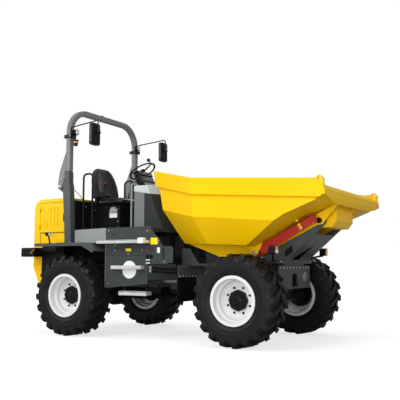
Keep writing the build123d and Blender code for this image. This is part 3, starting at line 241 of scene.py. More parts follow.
SLOT_MATERIAL = {
    "yellow_paint": "yellow",
    "dark_grey_paint": "dark_grey",
    "light_grey_paint": "light_grey",
    "black_steel": "black",
    "rim_paint": "white_rim",
    "red_paint": "red",
    "tyre_rubber": "tyre",
    "flap_rubber": "rubber",
    "black_plastic": "plastic",
    "black_vinyl": "vinyl",
    "rod_chrome": "chrome",
    "step_aluminium": "aluminium",
    "amber_lens": "amber",
}
NODE_MATERIAL = {
    "side_panels": "panel_grey",
    "platform": "panel_grey",
    "console": "mid_grey",
    "mudguard_plates": "dark_grey",
    "control_box": "black",
    "steer_barrel": "steel",
    "rops_hoop": "hoop_grey",
    "handrails": "rail_paint",
    "beacon": "beacon_lens",
    "mirrors": "vinyl",
}
SLOT_OF = {
    "steel": "rod_chrome",
    "mirror": "rod_chrome",
    "black": "black_steel",
    "plastic": "black_plastic",
    "plate": "rim_paint",
    "clear": "rim_paint",
    "aluminium": "step_aluminium",
    "vinyl": "black_vinyl",
    "red": "red_paint",
    "red_lens": "red_paint",
    "amber": "amber_lens",
    "tyre": "tyre_rubber",
    "rubber": "flap_rubber",
    "dark_grey": "dark_grey_paint",
    "panel_grey": "dark_grey_paint",
    "console_dark": "dark_grey_paint",
    "cap_grey": "light_grey_paint",
    "yellow": "yellow_paint",
    "yellow_plate": "yellow_paint",
}
SMOOTH_ANGLE = radians(32)
BEVEL_ANGLE = radians(35)


def dress_nodes():
    """Gives each CAD node its finish, and smooth shading across its round faces."""
    slots = {s["node"]: s["material_slot"] for s in frame["record"]["subparts"]}
    for name, node in frame["nodes"].items():
        node.data.materials.clear()
        node.data.materials.append(MAT[NODE_MATERIAL.get(name, SLOT_MATERIAL[slots[name]])])
        node.data.polygons.foreach_set("use_smooth", [True] * len(node.data.polygons))
        node.data.set_sharp_from_angle(angle=SMOOTH_ANGLE)


# Mesh tools
def finish_mesh(name, bm, material, body="rear_frame", slot=None, smooth=True, bevel=0.0, segments=2):
    """Makes a piece of a mesh: its finish, rounded edges and the body it rides on; the slot it stands for is
    worked out but not kept.
    """
    bmesh.ops.recalc_face_normals(bm, faces=bm.faces)
    mesh = bpy.data.meshes.new(name)
    bm.to_mesh(mesh)
    bm.free()
    piece = bpy.data.objects.new(name, mesh)
    bpy.context.scene.collection.objects.link(piece)
    mesh.materials.append(MAT[material])
    if smooth:
        mesh.polygons.foreach_set("use_smooth", [True] * len(mesh.polygons))
        mesh.set_sharp_from_angle(angle=SMOOTH_ANGLE)
    if bevel:
        cut = piece.modifiers.new("round", "BEVEL")
        cut.width = bevel
        cut.segments = segments
        cut.limit_method = "ANGLE"
        cut.angle_limit = BEVEL_ANGLE
    slot = slot or SLOT_OF[material]
    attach(piece, body)
    return piece


def add_box(bm, low, high):
    """A block from its low corner to its high corner."""
    low, high = Vector(low), Vector(high)
    middle = (low + high) / 2
    made = bmesh.ops.create_cube(bm, size=1.0)["verts"]
    scale = Matrix.Diagonal((*(high - low), 1.0))
    bmesh.ops.transform(bm, matrix=Matrix.Translation(middle) @ scale, verts=made)


def add_between(bm, side, s, y, z):
    """A block between two stations, two distances out on one side, and two heights."""
    near, far = sorted((side * y[0], side * y[1]))
    add_box(bm, (at(s[0]), near, z[0]), (at(s[1]), far, z[1]))


def aim(direction):
    """The turn that takes +Z to a direction."""
    return Vector((0, 0, 1)).rotation_difference(Vector(direction)).to_matrix()


def add_lathe(bm, outline, centre, direction, sides=32):
    """A turned form: (radius, reach) points, reach counted along the direction from the centre."""
    turn = aim(direction)
    rings = []
    for radius, reach in outline:
        ring = []
        for k in range(sides):
            a = 2 * pi * k / sides
            local = Vector((radius * cos(a), radius * sin(a), reach))
            ring.append(bm.verts.new(Vector(centre) + turn @ local))
        rings.append(ring)
    for a, b in zip(rings, rings[1:]):
        for k in range(sides):
            bm.faces.new((a[k], a[(k + 1) % sides], b[(k + 1) % sides], b[k]))
    bm.faces.new(rings[0])
    bm.faces.new(rings[-1])


def add_bolt(bm, place, direction, size=0.010):
    """A washer and a hexagon head, seated at its place."""
    add_lathe(bm, [(size * 1.25, -0.001), (size * 1.25, size * 0.2)], place, direction, 14)
    add_lathe(bm, [(size, size * 0.2), (size, size * 0.75), (size * 0.82, size * 0.9)], place, direction, 6)


def add_prism(bm, outline, y_low, y_high):
    """A plate standing fore and aft: (x, z) outline between two y values."""
    a = [bm.verts.new((x, y_low, z)) for x, z in outline]
    b = [bm.verts.new((x, y_high, z)) for x, z in outline]
    bm.faces.new(a)
    bm.faces.new(b)
    for k in range(len(a)):
        n = (k + 1) % len(a)
        bm.faces.new((a[k], a[n], b[n], b[k]))


def add_plate(bm, outline, y_low, y_high):
    """A plate standing fore and aft: its outline in stations and heights."""
    add_prism(bm, [(at(station), z) for station, z in outline], y_low, y_high)


def bars(name, material, routes, radius, body="rear_frame"):
    """Round bars or hoses: each route is a smooth curve through its points."""
    curve = bpy.data.curves.new(name, "CURVE")
    curve.dimensions = "3D"
    curve.bevel_depth = radius
    curve.bevel_resolution = 4
    curve.use_fill_caps = True
    curve.resolution_u = 10
    for route in routes:
        spline = curve.splines.new("NURBS")
        spline.points.add(len(route) - 1)
        for point, place in zip(spline.points, route):
            point.co = (*place, 1.0)
        spline.order_u = 3
        spline.use_endpoint_u = True
    curve.materials.append(MAT[material])
    piece = bpy.data.objects.new(name, curve)
    bpy.context.scene.collection.objects.link(piece)
    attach(piece, body)


# Wheels: rounded tyre edges, sidewall rings, bolts and valves
RING_RADII = (0.306, 0.345)
WHEEL_BOLTS = 8
BOLT_CIRCLE = 0.152
DISC_FACE = 0.0203


def soften(node_name, width, segments=2):
    """Rounds a CAD node's sharp edges as it is shown."""
    cut = frame["nodes"][node_name].modifiers.new("round", "BEVEL")
    cut.width = width
    cut.segments = segments
    cut.limit_method = "ANGLE"
    cut.angle_limit = BEVEL_ANGLE


def dress_wheel(end, side, label):
    name = f"{end}_{label}"
    centre = Vector((AXLE_X if end == "front" else REAR_X, side * WHEEL_Y, AXLE_Z))
    out = Vector((0, side, 0))
    soften(f"tyre_{name}", 0.004)

    bm = bmesh.new()
    for radius in RING_RADII:
        half_width = 0.1800 if radius < 0.32 else 0.1988
        for flank in (-1, 1):
            add_ring(bm, centre + Vector((0, flank * half_width, 0)), out, radius, 0.0032)
    finish_mesh(f"sidewall_rings_{name}", bm, "tyre", body=f"wheel_{name}")

    bm = bmesh.new()
    for k in range(WHEEL_BOLTS):
        a = 2 * pi * (k + 0.5) / WHEEL_BOLTS
        spot = centre + Vector((BOLT_CIRCLE * cos(a), side * DISC_FACE, BOLT_CIRCLE * sin(a)))
        add_lathe(bm, [(0.0145, -0.001), (0.0145, 0.003)], spot, out, 20)
        add_lathe(bm, [(0.0108, 0.003), (0.0108, 0.014), (0.009, 0.016)], spot, out, 6)
        add_lathe(bm, [(0.007, 0.015), (0.007, 0.026), (0.005, 0.028)], spot, out, 12)
    finish_mesh(f"wheel_bolts_{name}", bm, "black", body=f"wheel_{name}")

    bm = bmesh.new()
    stem = centre + Vector((0.0, side * 0.118, 0.236))
    add_lathe(
        bm, [(0.006, -0.01), (0.006, 0.02), (0.0045, 0.022), (0.0045, 0.034), (0.003, 0.036)], stem,
        (0, side, -0.25), 12,
    )
    finish_mesh(f"valve_{name}", bm, "steel", body=f"wheel_{name}")

    bm = bmesh.new()
    cap = centre + Vector((0, side * 0.0615, 0))
    add_lathe(bm, [(0.050, -0.001), (0.050, 0.003), (0.046, 0.005)], cap, out, 36)
    for k in range(6):
        a = 2 * pi * k / 6
        add_bolt(bm, cap + Vector((0.084 * cos(a), 0, 0.084 * sin(a))), out, 0.008)
    finish_mesh(f"hub_cap_{name}", bm, "black", body=f"wheel_{name}", bevel=0.001)


def add_ring(bm, centre, direction, radius, thick, sides=96, section=8):
    """A thin round moulding about a direction."""
    turn = aim(direction)
    rings = []
    for j in range(section):
        b = 2 * pi * j / section
        r = radius + thick * cos(b)
        reach = thick * 0.6 * sin(b)
        ring = []
        for k in range(sides):
            a = 2 * pi * k / sides
            ring.append(bm.verts.new(Vector(centre) + turn @ Vector((r * cos(a), r * sin(a), reach))))
        rings.append(ring)
    for j in range(section):
        a, b = rings[j], rings[(j + 1) % section]
        for k in range(sides):
            n = (k + 1) % sides
            bm.faces.new((a[k], a[n], b[n], b[k]))


# Right side panel and steps
PANEL_Y = 0.950
TREAD_TOP = 1.250
TREAD_OUT = 1.090
TREAD_BACK = -2.000
TREAD_FRONT = -1.240


def plate_on_panel(name, material, s, z, corner=0.006):
    """A thin blank plate with rounded corners, lying on the side panel."""
    bm = bmesh.new()
    low_s, high_s = s
    low_z, high_z = z
    outline = []
    for cx, cz, start in (
        (high_s - corner, high_z - corner, 0), (low_s + corner, high_z - corner, 90),
        (low_s + corner, low_z + corner, 180), (high_s - corner, low_z + corner, 270),
    ):
        for step in range(5):
            a = radians(start + 22.5 * step)
            outline.append((at(cx + corner * cos(a)), cz + corner * sin(a)))
    add_prism(bm, outline, -PANEL_Y - 0.0016, 0.0006 - PANEL_Y)
    finish_mesh(name, bm, material, smooth=False, bevel=0.0004, segments=1)


def dress_panels():
    plate_on_panel("sign_plate_large", "yellow_plate", (-1.228, -1.118), (1.192, 1.276))
    plate_on_panel("sign_plate_small", "yellow_plate", (-1.614, -1.532), (1.111, 1.148))
    plate_on_panel("data_plate", "plate", (-1.126, -1.084), (1.086, 1.154))
    plate_on_panel("union_label_upper", "plate", (-1.300, -1.234), (0.994, 1.005), corner=0.003)
    plate_on_panel("union_label_lower", "plate", (-1.300, -1.234), (0.956, 0.967), corner=0.003)
    disc = bmesh.new()
    add_lathe(
        disc, [(0.1115, -0.0006), (0.1115, 0.0012), (0.1105, 0.0016)], (at(-1.556), -PANEL_Y, 0.878),
        (0, -1, 0), 96,
    )
    finish_mesh("round_plate", disc, "plate", smooth=True)

    for side, label in SIDES:
        out = Vector((0, side, 0))
        bolts = bmesh.new()
        for s, z in (
            (-1.792, 1.123), (-1.359, 1.125), (-1.574, 1.074), (-1.276, 1.364), (-1.794, 1.190),
            (-1.100, 1.240), (-1.020, 0.975), (-1.900, 1.385), (-1.900, 0.700),
        ):
            add_bolt(bolts, (at(s), side * (PANEL_Y - 0.0005), z), out, 0.0085)
        finish_mesh(f"panel_bolts_{label}", bolts, "steel")

        grommets = bmesh.new()
        for s in (-1.834, -1.804):
            add_ring(grommets, (at(s), side * PANEL_Y, 1.329), out, 0.0085, 0.0026, 24)
            add_lathe(
                grommets, [(0.0075, -0.0005), (0.0075, 0.0006)], (at(s), side * PANEL_Y, 1.329), out, 24,
            )
        for s in (-1.275, -1.213):
            spot = Vector((at(s), side * PANEL_Y, 1.040))
            add_ring(grommets, spot, out, 0.026, 0.0035, 40)
            add_lathe(grommets, [(0.024, -0.0005), (0.024, 0.0008)], spot, out, 40)
            for offset in (-0.014, -0.007, 0.0, 0.007, 0.014):
                half = sqrt(0.022 ** 2 - offset ** 2)
                add_box(
                    grommets, spot + Vector((-half, min(0, side * 0.0030), offset - 0.0016)),
                    spot + Vector((half, max(0, side * 0.0030), offset + 0.0016)),
                )
        finish_mesh(f"panel_vents_{label}", grommets, "plastic", bevel=0.0006, segments=1)

        pull = bmesh.new()
        add_between(pull, side, (-1.041, -1.025), (0.9495, 0.957), (1.018, 1.146))
        add_between(pull, side, (-1.190, -1.184), (0.9495, 0.953), (1.100, 1.160))
        finish_mesh(f"panel_pull_{label}", pull, "plastic", bevel=0.002)

        wing = bmesh.new()
        outline = [
            (-0.975, 0.962), (-0.892, 0.962), (-0.887, 1.138), (-0.910, 1.167), (-1.036, 1.167),
            (-1.036, 1.158), (-0.975, 1.158),
        ]
        y = sorted((side * (PANEL_Y - 0.008), side * (PANEL_Y + 0.0008)))
        add_plate(wing, outline, *y)
        finish_mesh(f"panel_wing_{label}", wing, "panel_grey", bevel=0.002)

        seam = bmesh.new()
        add_between(seam, side, (-1.945, -1.225), (0.9495, 0.9508), (1.058, 1.062))
        add_between(seam, side, (-1.227, -1.223), (0.9495, 0.9508), (0.720, 1.180))
        finish_mesh(f"panel_seams_{label}", seam, "black", bevel=0.0004, segments=1)

        button = bmesh.new()
        add_lathe(
            button, [(0.013, -0.0005), (0.013, 0.002), (0.009, 0.002), (0.009, 0.010), (0.007, 0.012)],
            (at(-1.279), side * PANEL_Y, 1.120), out, 24,
        )
        finish_mesh(f"panel_button_{label}", button, "red")

        dress_tread(side, label)
        dress_rail_ends(side, label)


def dress_tread(side, label):
    """The upper step's channel, raised teeth and end block, and the lower step on its legs."""
    channel = bmesh.new()
    add_between(channel, side, (TREAD_BACK, TREAD_FRONT), (0.9503, TREAD_OUT), (TREAD_TOP - 0.010, TREAD_TOP))
    add_between(channel, side, (TREAD_BACK, TREAD_FRONT), (TREAD_OUT - 0.014, TREAD_OUT), (1.212, TREAD_TOP))
    add_between(channel, side, (TREAD_BACK, TREAD_FRONT), (0.9503, 0.9640), (1.212, TREAD_TOP))
    for s in (TREAD_BACK, TREAD_FRONT - 0.012):
        add_between(channel, side, (s, s + 0.012), (0.9503, TREAD_OUT), (1.212, TREAD_TOP))
    upper = finish_mesh(f"upper_step_{label}", channel, "aluminium", bevel=0.002)
    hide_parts("steps")

    teeth = bmesh.new()
    pitch = 0.022
    for k in range(30):
        s = TREAD_BACK + pitch * (k + 0.35)
        for near, far in ((0.962, 0.990), (1.000, 1.028), (1.040, 1.080)):
            add_between(
                teeth, side, (s, s + pitch * 0.5), (near, far), (TREAD_TOP - 0.001, TREAD_TOP + 0.005),
            )
        add_between(
            teeth, side, (s, s + pitch * 0.5), (TREAD_OUT - 0.0005, TREAD_OUT + 0.0045), (1.217, 1.246),
        )
    finish_mesh(f"step_teeth_{label}", teeth, "aluminium", bevel=0.0012, segments=1)

    block = bmesh.new()
    add_between(block, side, (-1.322, TREAD_FRONT + 0.004), (1.036, TREAD_OUT + 0.008), (1.204, 1.274))
    finish_mesh(f"step_end_block_{label}", block, "plate", slot="step_aluminium", bevel=0.004, segments=3)
    ribs = bmesh.new()
    for k in range(4):
        s = -1.313 + 0.019 * k
        for z in ((1.212, 1.236), (1.242, 1.266)):
            add_between(ribs, side, (s, s + 0.011), (TREAD_OUT + 0.0075, TREAD_OUT + 0.011), z)
    finish_mesh(f"step_end_ribs_{label}", ribs, "plate", bevel=0.0015)

    low = bmesh.new()
    add_between(low, side, (-1.690, -1.248), (0.892, 1.000), (0.592, 0.604))
    add_between(low, side, (-1.690, -1.248), (0.988, 1.000), (0.556, 0.604))
    add_between(low, side, (-1.690, -1.248), (0.892, 0.902), (0.570, 0.604))
    for s in (-1.690, -1.258):
        add_between(low, side, (s, s + 0.010), (0.892, 1.000), (0.562, 0.604))
    lower = finish_mesh(f"lower_step_{label}", low, "aluminium", bevel=0.002)
    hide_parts("steps")
    teeth = bmesh.new()
    for k in range(18):
        s = -1.684 + 0.0245 * k
        for near, far in ((0.898, 0.924), (0.932, 0.958), (0.966, 0.996)):
            add_between(teeth, side, (s, s + 0.011), (near, far), (0.603, 0.609))
        add_between(teeth, side, (s, s + 0.011), (0.9995, 1.004), (0.562, 0.598))
    finish_mesh(f"lower_step_teeth_{label}", teeth, "aluminium", bevel=0.001, segments=1)
    legs = bmesh.new()
    for s in (-1.640, -1.290):
        add_between(legs, side, (s, s + 0.020), (0.920, 0.960), (0.600, 0.640 + (s + 1.950) * 0.0882))
    leg = finish_mesh(f"step_legs_{label}", legs, "black", bevel=0.002)
    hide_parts("steps")


def dress_rail_ends(side, label):
    """The flat serrated rung across the round plate, on its two end brackets."""
    rung = bmesh.new()
    add_between(rung, side, (-1.800, -1.320), (0.986, 1.028), (0.884, 0.926))
    for s in (-1.800, -1.330):
        add_between(rung, side, (s, s + 0.010), (0.9503, 0.990), (0.884, 0.926))
    piece = finish_mesh(f"grab_rung_{label}", rung, "aluminium", bevel=0.003, segments=3)
    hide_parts("step_rails")
    teeth = bmesh.new()
    for k in range(20):
        s = -1.792 + 0.0235 * k
        add_between(teeth, side, (s, s + 0.012), (1.0275, 1.0315), (0.890, 0.920))
        add_between(teeth, side, (s, s + 0.012), (0.990, 1.024), (0.925, 0.930))
    finish_mesh(f"rung_teeth_{label}", teeth, "aluminium", bevel=0.001, segments=1)
    feet = bmesh.new()
    for s in (-1.790, -1.330):
        add_bolt(feet, (at(s), side * 1.0278, 0.905), (0, side, 0), 0.007)
    finish_mesh(f"rung_bolts_{label}", feet, "steel")


# Hood: hinges' screws, seams, door handle and rear grille
HOOD_Y = 0.640


def dress_hood():
    for side, label in SIDES:
        seams = bmesh.new()
        add_between(seams, side, (-3.452, -2.922), (HOOD_Y - 0.0005, HOOD_Y + 0.0022), (1.396, 1.404))
        add_between(seams, side, (-3.452, -3.445), (HOOD_Y - 0.0005, HOOD_Y + 0.0022), (1.240, 1.404))
        finish_mesh(f"hood_seams_{label}", seams, "black", bevel=0.0006, segments=1)

        liner = bmesh.new()
        y = sorted((side * (HOOD_Y - 0.0005), side * (HOOD_Y + 0.0080)))
        outline = [(-3.405, 0.760), (-3.405, 1.205), (-2.965, 1.205), (-2.965, 0.760)]
        add_plate(liner, outline, *y)
        finish_mesh(f"fender_liner_{label}", liner, "black", bevel=0.002)

        handle = bmesh.new()
        add_between(handle, side, (-3.004, -2.972), (HOOD_Y - 0.0005, HOOD_Y + 0.004), (1.560, 1.680))
        add_between(handle, side, (-2.997, -2.979), (HOOD_Y + 0.003, HOOD_Y + 0.013), (1.590, 1.660))
        finish_mesh(f"door_latch_{label}", handle, "plastic", body=f"hood_door_{label}_body", bevel=0.003)

        screws = bmesh.new()
        for z in (1.500, 1.750):
            for dz in (-0.028, -0.012):
                add_bolt(screws, (at(-3.472), side * (HOOD_Y + 0.0118), z + dz), (0, side, 0), 0.0045)
        finish_mesh(f"hinge_screws_{label}", screws, "steel")

    slats = bmesh.new()
    rear_x = at(-3.596)
    for k in range(9):
        z = 1.020 + 0.055 * k
        add_box(slats, (rear_x - 0.003, -0.420, z), (rear_x + 0.0005, 0.420, z + 0.024))
    finish_mesh("rear_grille_slats", slats, "plastic", bevel=0.002)
    frame_bars = bmesh.new()
    for low, high in (
        ((-0.445, 0.990), (0.445, 1.004)), ((-0.445, 1.500), (0.445, 1.514)),
        ((-0.445, 0.990), (-0.431, 1.514)), ((0.431, 0.990), (0.445, 1.514)),
    ):
        add_box(frame_bars, (rear_x - 0.006, low[0], low[1]), (rear_x + 0.0005, high[0], high[1]))
    finish_mesh("rear_grille_rim", frame_bars, "plastic", bevel=0.003)


# Roll-over frame: pins, plates and bracket screws
def dress_hoop():
    for side, label in SIDES:
        pins = bmesh.new()
        y = side * POST_Y
        spot = Vector((at(FOLD_PIN[0]), y + side * 0.044, FOLD_PIN[1]))
        add_lathe(pins, [(0.024, 0.0), (0.024, 0.004), (0.018, 0.006)], spot, (0, side, 0), 24)
        add_lathe(pins, [(0.016, 0.004), (0.016, 0.014), (0.013, 0.016)], spot, (0, side, 0), 6)
        lock = Vector((at(-2.880), y + side * 0.040, 2.160))
        add_lathe(pins, [(0.013, 0.0), (0.013, 0.016), (0.010, 0.019)], lock, (0, side, 0), 18)
        add_ring(pins, lock + Vector((0, side * 0.022, -0.016)), (1, 0, 0), 0.016, 0.0022, 28)
        finish_mesh(f"fold_pins_{label}", pins, "steel")

        post = bmesh.new()
        outline = [
            (-2.816, 1.2483), (-2.700, 1.2483), (-2.716, 1.610), (-2.724, 1.850), (-2.733, 2.040),
            (-2.752, 2.110), (-2.752, 2.2555), (-2.832, 2.2555), (-2.840, 2.120), (-2.870, 2.060),
            (-2.862, 1.900), (-2.836, 1.610),
        ]
        add_plate(post, outline, y - 0.048, y + 0.048)
        piece = finish_mesh(f"lower_post_{label}", post, "dark_grey", bevel=0.008, segments=3)
        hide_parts("rops_lower")
        foot = bmesh.new()
        add_box(foot, (at(-2.930), y - 0.060, 1.2323), (at(-2.695), y + 0.060, 1.2500))
        add_plate(
            foot, ((-2.850, 1.930), (-2.960, 2.013), (-2.960, 2.075), (-2.910, 2.083), (-2.850, 2.120)),
            y - 0.020, y + 0.020,
        )
        add_lathe(foot, [(0.014, -0.044), (0.014, 0.044)], (at(FOLD_PIN[0]), y, FOLD_PIN[1]), (0, 1, 0), 24)
        piece = finish_mesh(f"post_foot_{label}", foot, "dark_grey", bevel=0.003)
        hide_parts("rops_lower")

        bolts = bmesh.new()
        for s in (-2.915, -2.712):
            for dy in (-0.045, 0.045):
                add_bolt(bolts, (at(s), y + dy, 1.2495), (0, 0, 1), 0.010)
        finish_mesh(f"post_bolts_{label}", bolts, "steel")

        clamp = bmesh.new()
        for dz in (2.748, 2.767):
            for s in (-2.848, -2.736):
                add_bolt(clamp, (at(s), y + side * 0.0615, dz), (0, side, 0), 0.006)
        finish_mesh(f"clamp_bolts_{label}", clamp, "steel", body="folding_hoop")
    eye = bmesh.new()
    add_box(eye, (at(-2.800), -0.078, 3.189), (at(-2.784), -0.042, 3.212))
    finish_mesh("hoop_bracket", eye, "dark_grey", body="folding_hoop", bevel=0.003)


# Lamps, beacon and mirrors
def add_rounded_plate(bm, centre, half_y, half_z, x_low, x_high, corner):
    """A plate facing forward with rounded corners between two x values."""
    outline = []
    for sy, sz, start in ((1, 1, 0), (-1, 1, 90), (-1, -1, 180), (1, -1, 270)):
        for step in range(6):
            a = radians(start + 18 * step)
            outline.append(
                (
                    centre[0] + sy * (half_y - corner) + corner * cos(a),
                    centre[1] + sz * (half_z - corner) + corner * sin(a),
                )
            )
    a = [bm.verts.new((x_low, y, z)) for y, z in outline]
    b = [bm.verts.new((x_high, y, z)) for y, z in outline]
    bm.faces.new(a)
    bm.faces.new(b)
    for k in range(len(a)):
        n = (k + 1) % len(a)
        bm.faces.new((a[k], a[n], b[n], b[k]))


def dress_lamps():
    for side, label in SIDES:
        lens = bmesh.new()
        front = at(-2.792) + 0.110
        add_rounded_plate(lens, (side * 0.7275, 2.8195), 0.031, 0.034, front - 0.002, front + 0.006, 0.012)
        finish_mesh(f"work_lens_{label}", lens, "clear", body="folding_hoop", bevel=0.003, segments=3)

        glass = bmesh.new()
        back = at(-2.300)
        add_rounded_plate(glass, (side * 0.825, 2.7275), 0.080, 0.142, back - 0.003, back + 0.001, 0.034)
        finish_mesh(f"mirror_glass_{label}", glass, "mirror", body="folding_hoop", bevel=0.001)

        dome = bmesh.new()
        add_rounded_plate(dome, (side * 0.825, 2.7275), 0.074, 0.136, at(-2.2555), at(-2.243), 0.040)
        finish_mesh(f"mirror_back_{label}", dome, "plastic", body="folding_hoop", bevel=0.010, segments=4)

        knob = bmesh.new()
        add_lathe(
            knob, [(0.020, -0.03), (0.020, 0.030), (0.014, 0.034)], (at(-2.219), side * 0.815, 2.750),
            (0, side, 0), 20,
        )
        finish_mesh(f"mirror_clamp_{label}", knob, "plastic", body="folding_hoop")

        tail = bmesh.new()
        rear = at(-3.592)
        add_rounded_plate(tail, (side * 0.725, 1.120), 0.036, 0.050, rear - 0.004, rear + 0.001, 0.010)
        finish_mesh(f"tail_lens_{label}", tail, "red_lens", bevel=0.002)
        tail = bmesh.new()
        add_rounded_plate(tail, (side * 0.815, 1.120), 0.040, 0.050, rear - 0.004, rear + 0.001, 0.010)
        finish_mesh(f"turn_lens_{label}", tail, "amber", bevel=0.002)

        reflector = bmesh.new()
        for k in range(3):
            add_lathe(
                reflector, [(0.009, -0.0005), (0.009, 0.003), (0.007, 0.0045)],
                (at(-3.400 + 0.030 * k), side * 0.870, 1.110 + 0.022 * k), (0, side, 0), 20,
            )
        finish_mesh(f"side_reflectors_{label}", reflector, "amber")

        stalk = bmesh.new()
        add_rounded_plate(
            stalk, (side * 0.850, 1.370), 0.021, 0.021, at(-3.060) - 0.001, at(-3.060) + 0.005, 0.010,
        )
        finish_mesh(f"stalk_lens_{label}", stalk, "clear", bevel=0.002)
        stalk = bmesh.new()
        add_rounded_plate(
            stalk, (side * 0.850, 1.370), 0.021, 0.021, at(-3.120) - 0.005, at(-3.120) + 0.001, 0.010,
        )
        finish_mesh(f"stalk_rear_lens_{label}", stalk, "red_lens", bevel=0.002)

        low = bmesh.new()
        face = at(0.425)
        add_rounded_plate(low, (side * 0.8075, 1.0895), 0.0305, 0.018, face + 0.0035, face + 0.0065, 0.004)
        finish_mesh(f"signal_lower_lens_{label}", low, "clear", body="front_frame", bevel=0.001)

    base = bmesh.new()
    add_lathe(
        base, [(0.0388, 0.0), (0.0395, 0.003), (0.0395, 0.020), (0.0375, 0.023)],
        (at(-2.682), -POST_Y, 2.680), (0, 0, 1), 36,
    )
    finish_mesh("beacon_base", base, "plastic", body="folding_hoop")
    ring = bmesh.new()
    add_lathe(
        ring, [(0.0325, 0.0), (0.0340, 0.002), (0.0340, 0.022), (0.0325, 0.024)],
        (at(-2.682), -POST_Y, 2.657), (0, 0, 1), 36,
    )
    finish_mesh("beacon_band", ring, "amber", body="folding_hoop")


# Driver's place: a moulded high back and a crowned cushion with seams

def shell_rows(rows, name):
    """A padded form lofted through rows of (place, across direction half width, depth) sections."""
    bm = bmesh.new()
    count = 20
    rings = []
    for centre, half, depth, front, bolster in rows:
        ring = []
        for k in range(count):
            a = 2 * pi * k / count
            c, s_ = cos(a), sin(a)
            y = half * (abs(c) ** 0.6) * (1 if c >= 0 else -1)
            d = (abs(s_) ** 0.7) * (1 if s_ >= 0 else -1)
            if d > 0:
                dish = bolster * (abs(y) / half) ** 3 - 0.35 * bolster
                off = depth * d * 0.5 + dish * d
            else:
                off = depth * d * 0.5
            ring.append(bm.verts.new(Vector(centre) + Vector(front) * off + Vector((0, y, 0))))
        rings.append(ring)
    for a, b in zip(rings, rings[1:]):
        for k in range(count):
            n = (k + 1) % count
            bm.faces.new((a[k], a[n], b[n], b[k]))
    bm.faces.new(rings[0])
    bm.faces.new(rings[-1])
    piece = finish_mesh(name, bm, "vinyl")
    smooth = piece.modifiers.new("soften", "SUBSURF")
    smooth.levels = 2
    smooth.render_levels = 2
    return piece


def make_seat():
    lean = Vector((0.976, 0, 0.219))
    back_rows = []
    for height, half, depth, bolster, drift in (
        (
            1.880, 0.205, 0.060, 0.010, 0.010,
        ), (1.900, 0.228, 0.095, 0.030, 0.010), (1.960, 0.240, 0.110, 0.050, 0.004),
        (
            2.060, 0.246, 0.112, 0.055, 0.0,
        ), (2.160, 0.240, 0.105, 0.048, 0.0), (2.250, 0.222, 0.095, 0.036, 0.0),
        (
            2.320, 0.192, 0.085, 0.024, 0.0,
        ), (2.370, 0.145, 0.070, 0.012, 0.0), (2.390, 0.095, 0.045, 0.004, 0.0),
    ):
        s = -2.735 - 0.2165 * (height - 1.880) + drift
        back_rows.append(((at(s), 0, height), half * 1.10, depth * 1.18, lean, bolster * 1.5))
    back = shell_rows(back_rows, "seat_back")

    cushion_rows = []
    up = Vector((0.04, 0, 1.0)).normalized()
    for s, half, depth, bolster, z in (
        (
            -2.780, 0.190, 0.060, 0.005, 1.855,
        ), (-2.755, 0.225, 0.100, 0.016, 1.853), (-2.650, 0.242, 0.120, 0.030, 1.850),
        (
            -2.500, 0.246, 0.122, 0.026, 1.852,
        ), (-2.380, 0.246, 0.120, 0.018, 1.856), (-2.290, 0.240, 0.110, 0.010, 1.858),
        (-2.250, 0.222, 0.085, 0.004, 1.852), (-2.236, 0.190, 0.045, 0.0, 1.845),
    ):
        cushion_rows.append(((at(s), 0, z), half * 1.06, depth, up, bolster * 1.4))
    cushion = shell_rows(cushion_rows, "seat_cushion")
    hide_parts("seat_cushions")
    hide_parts("seat_cushions")

    for name, rows in (("back_piping", back_rows[1:-1]), ("cushion_piping", cushion_rows[1:-1])):
        routes = []
        for flank in (-1, 1):
            route = []
            for centre, half, depth, front, bolster in rows:
                off = depth * 0.5 + bolster * 0.10
                route.append(
                    tuple(Vector(centre) + front * (off - 0.006) + Vector((0, flank * half * 0.62, 0)))
                )
            routes.append(route)
        bars(f"seat_{name}", "vinyl", routes, 0.004)


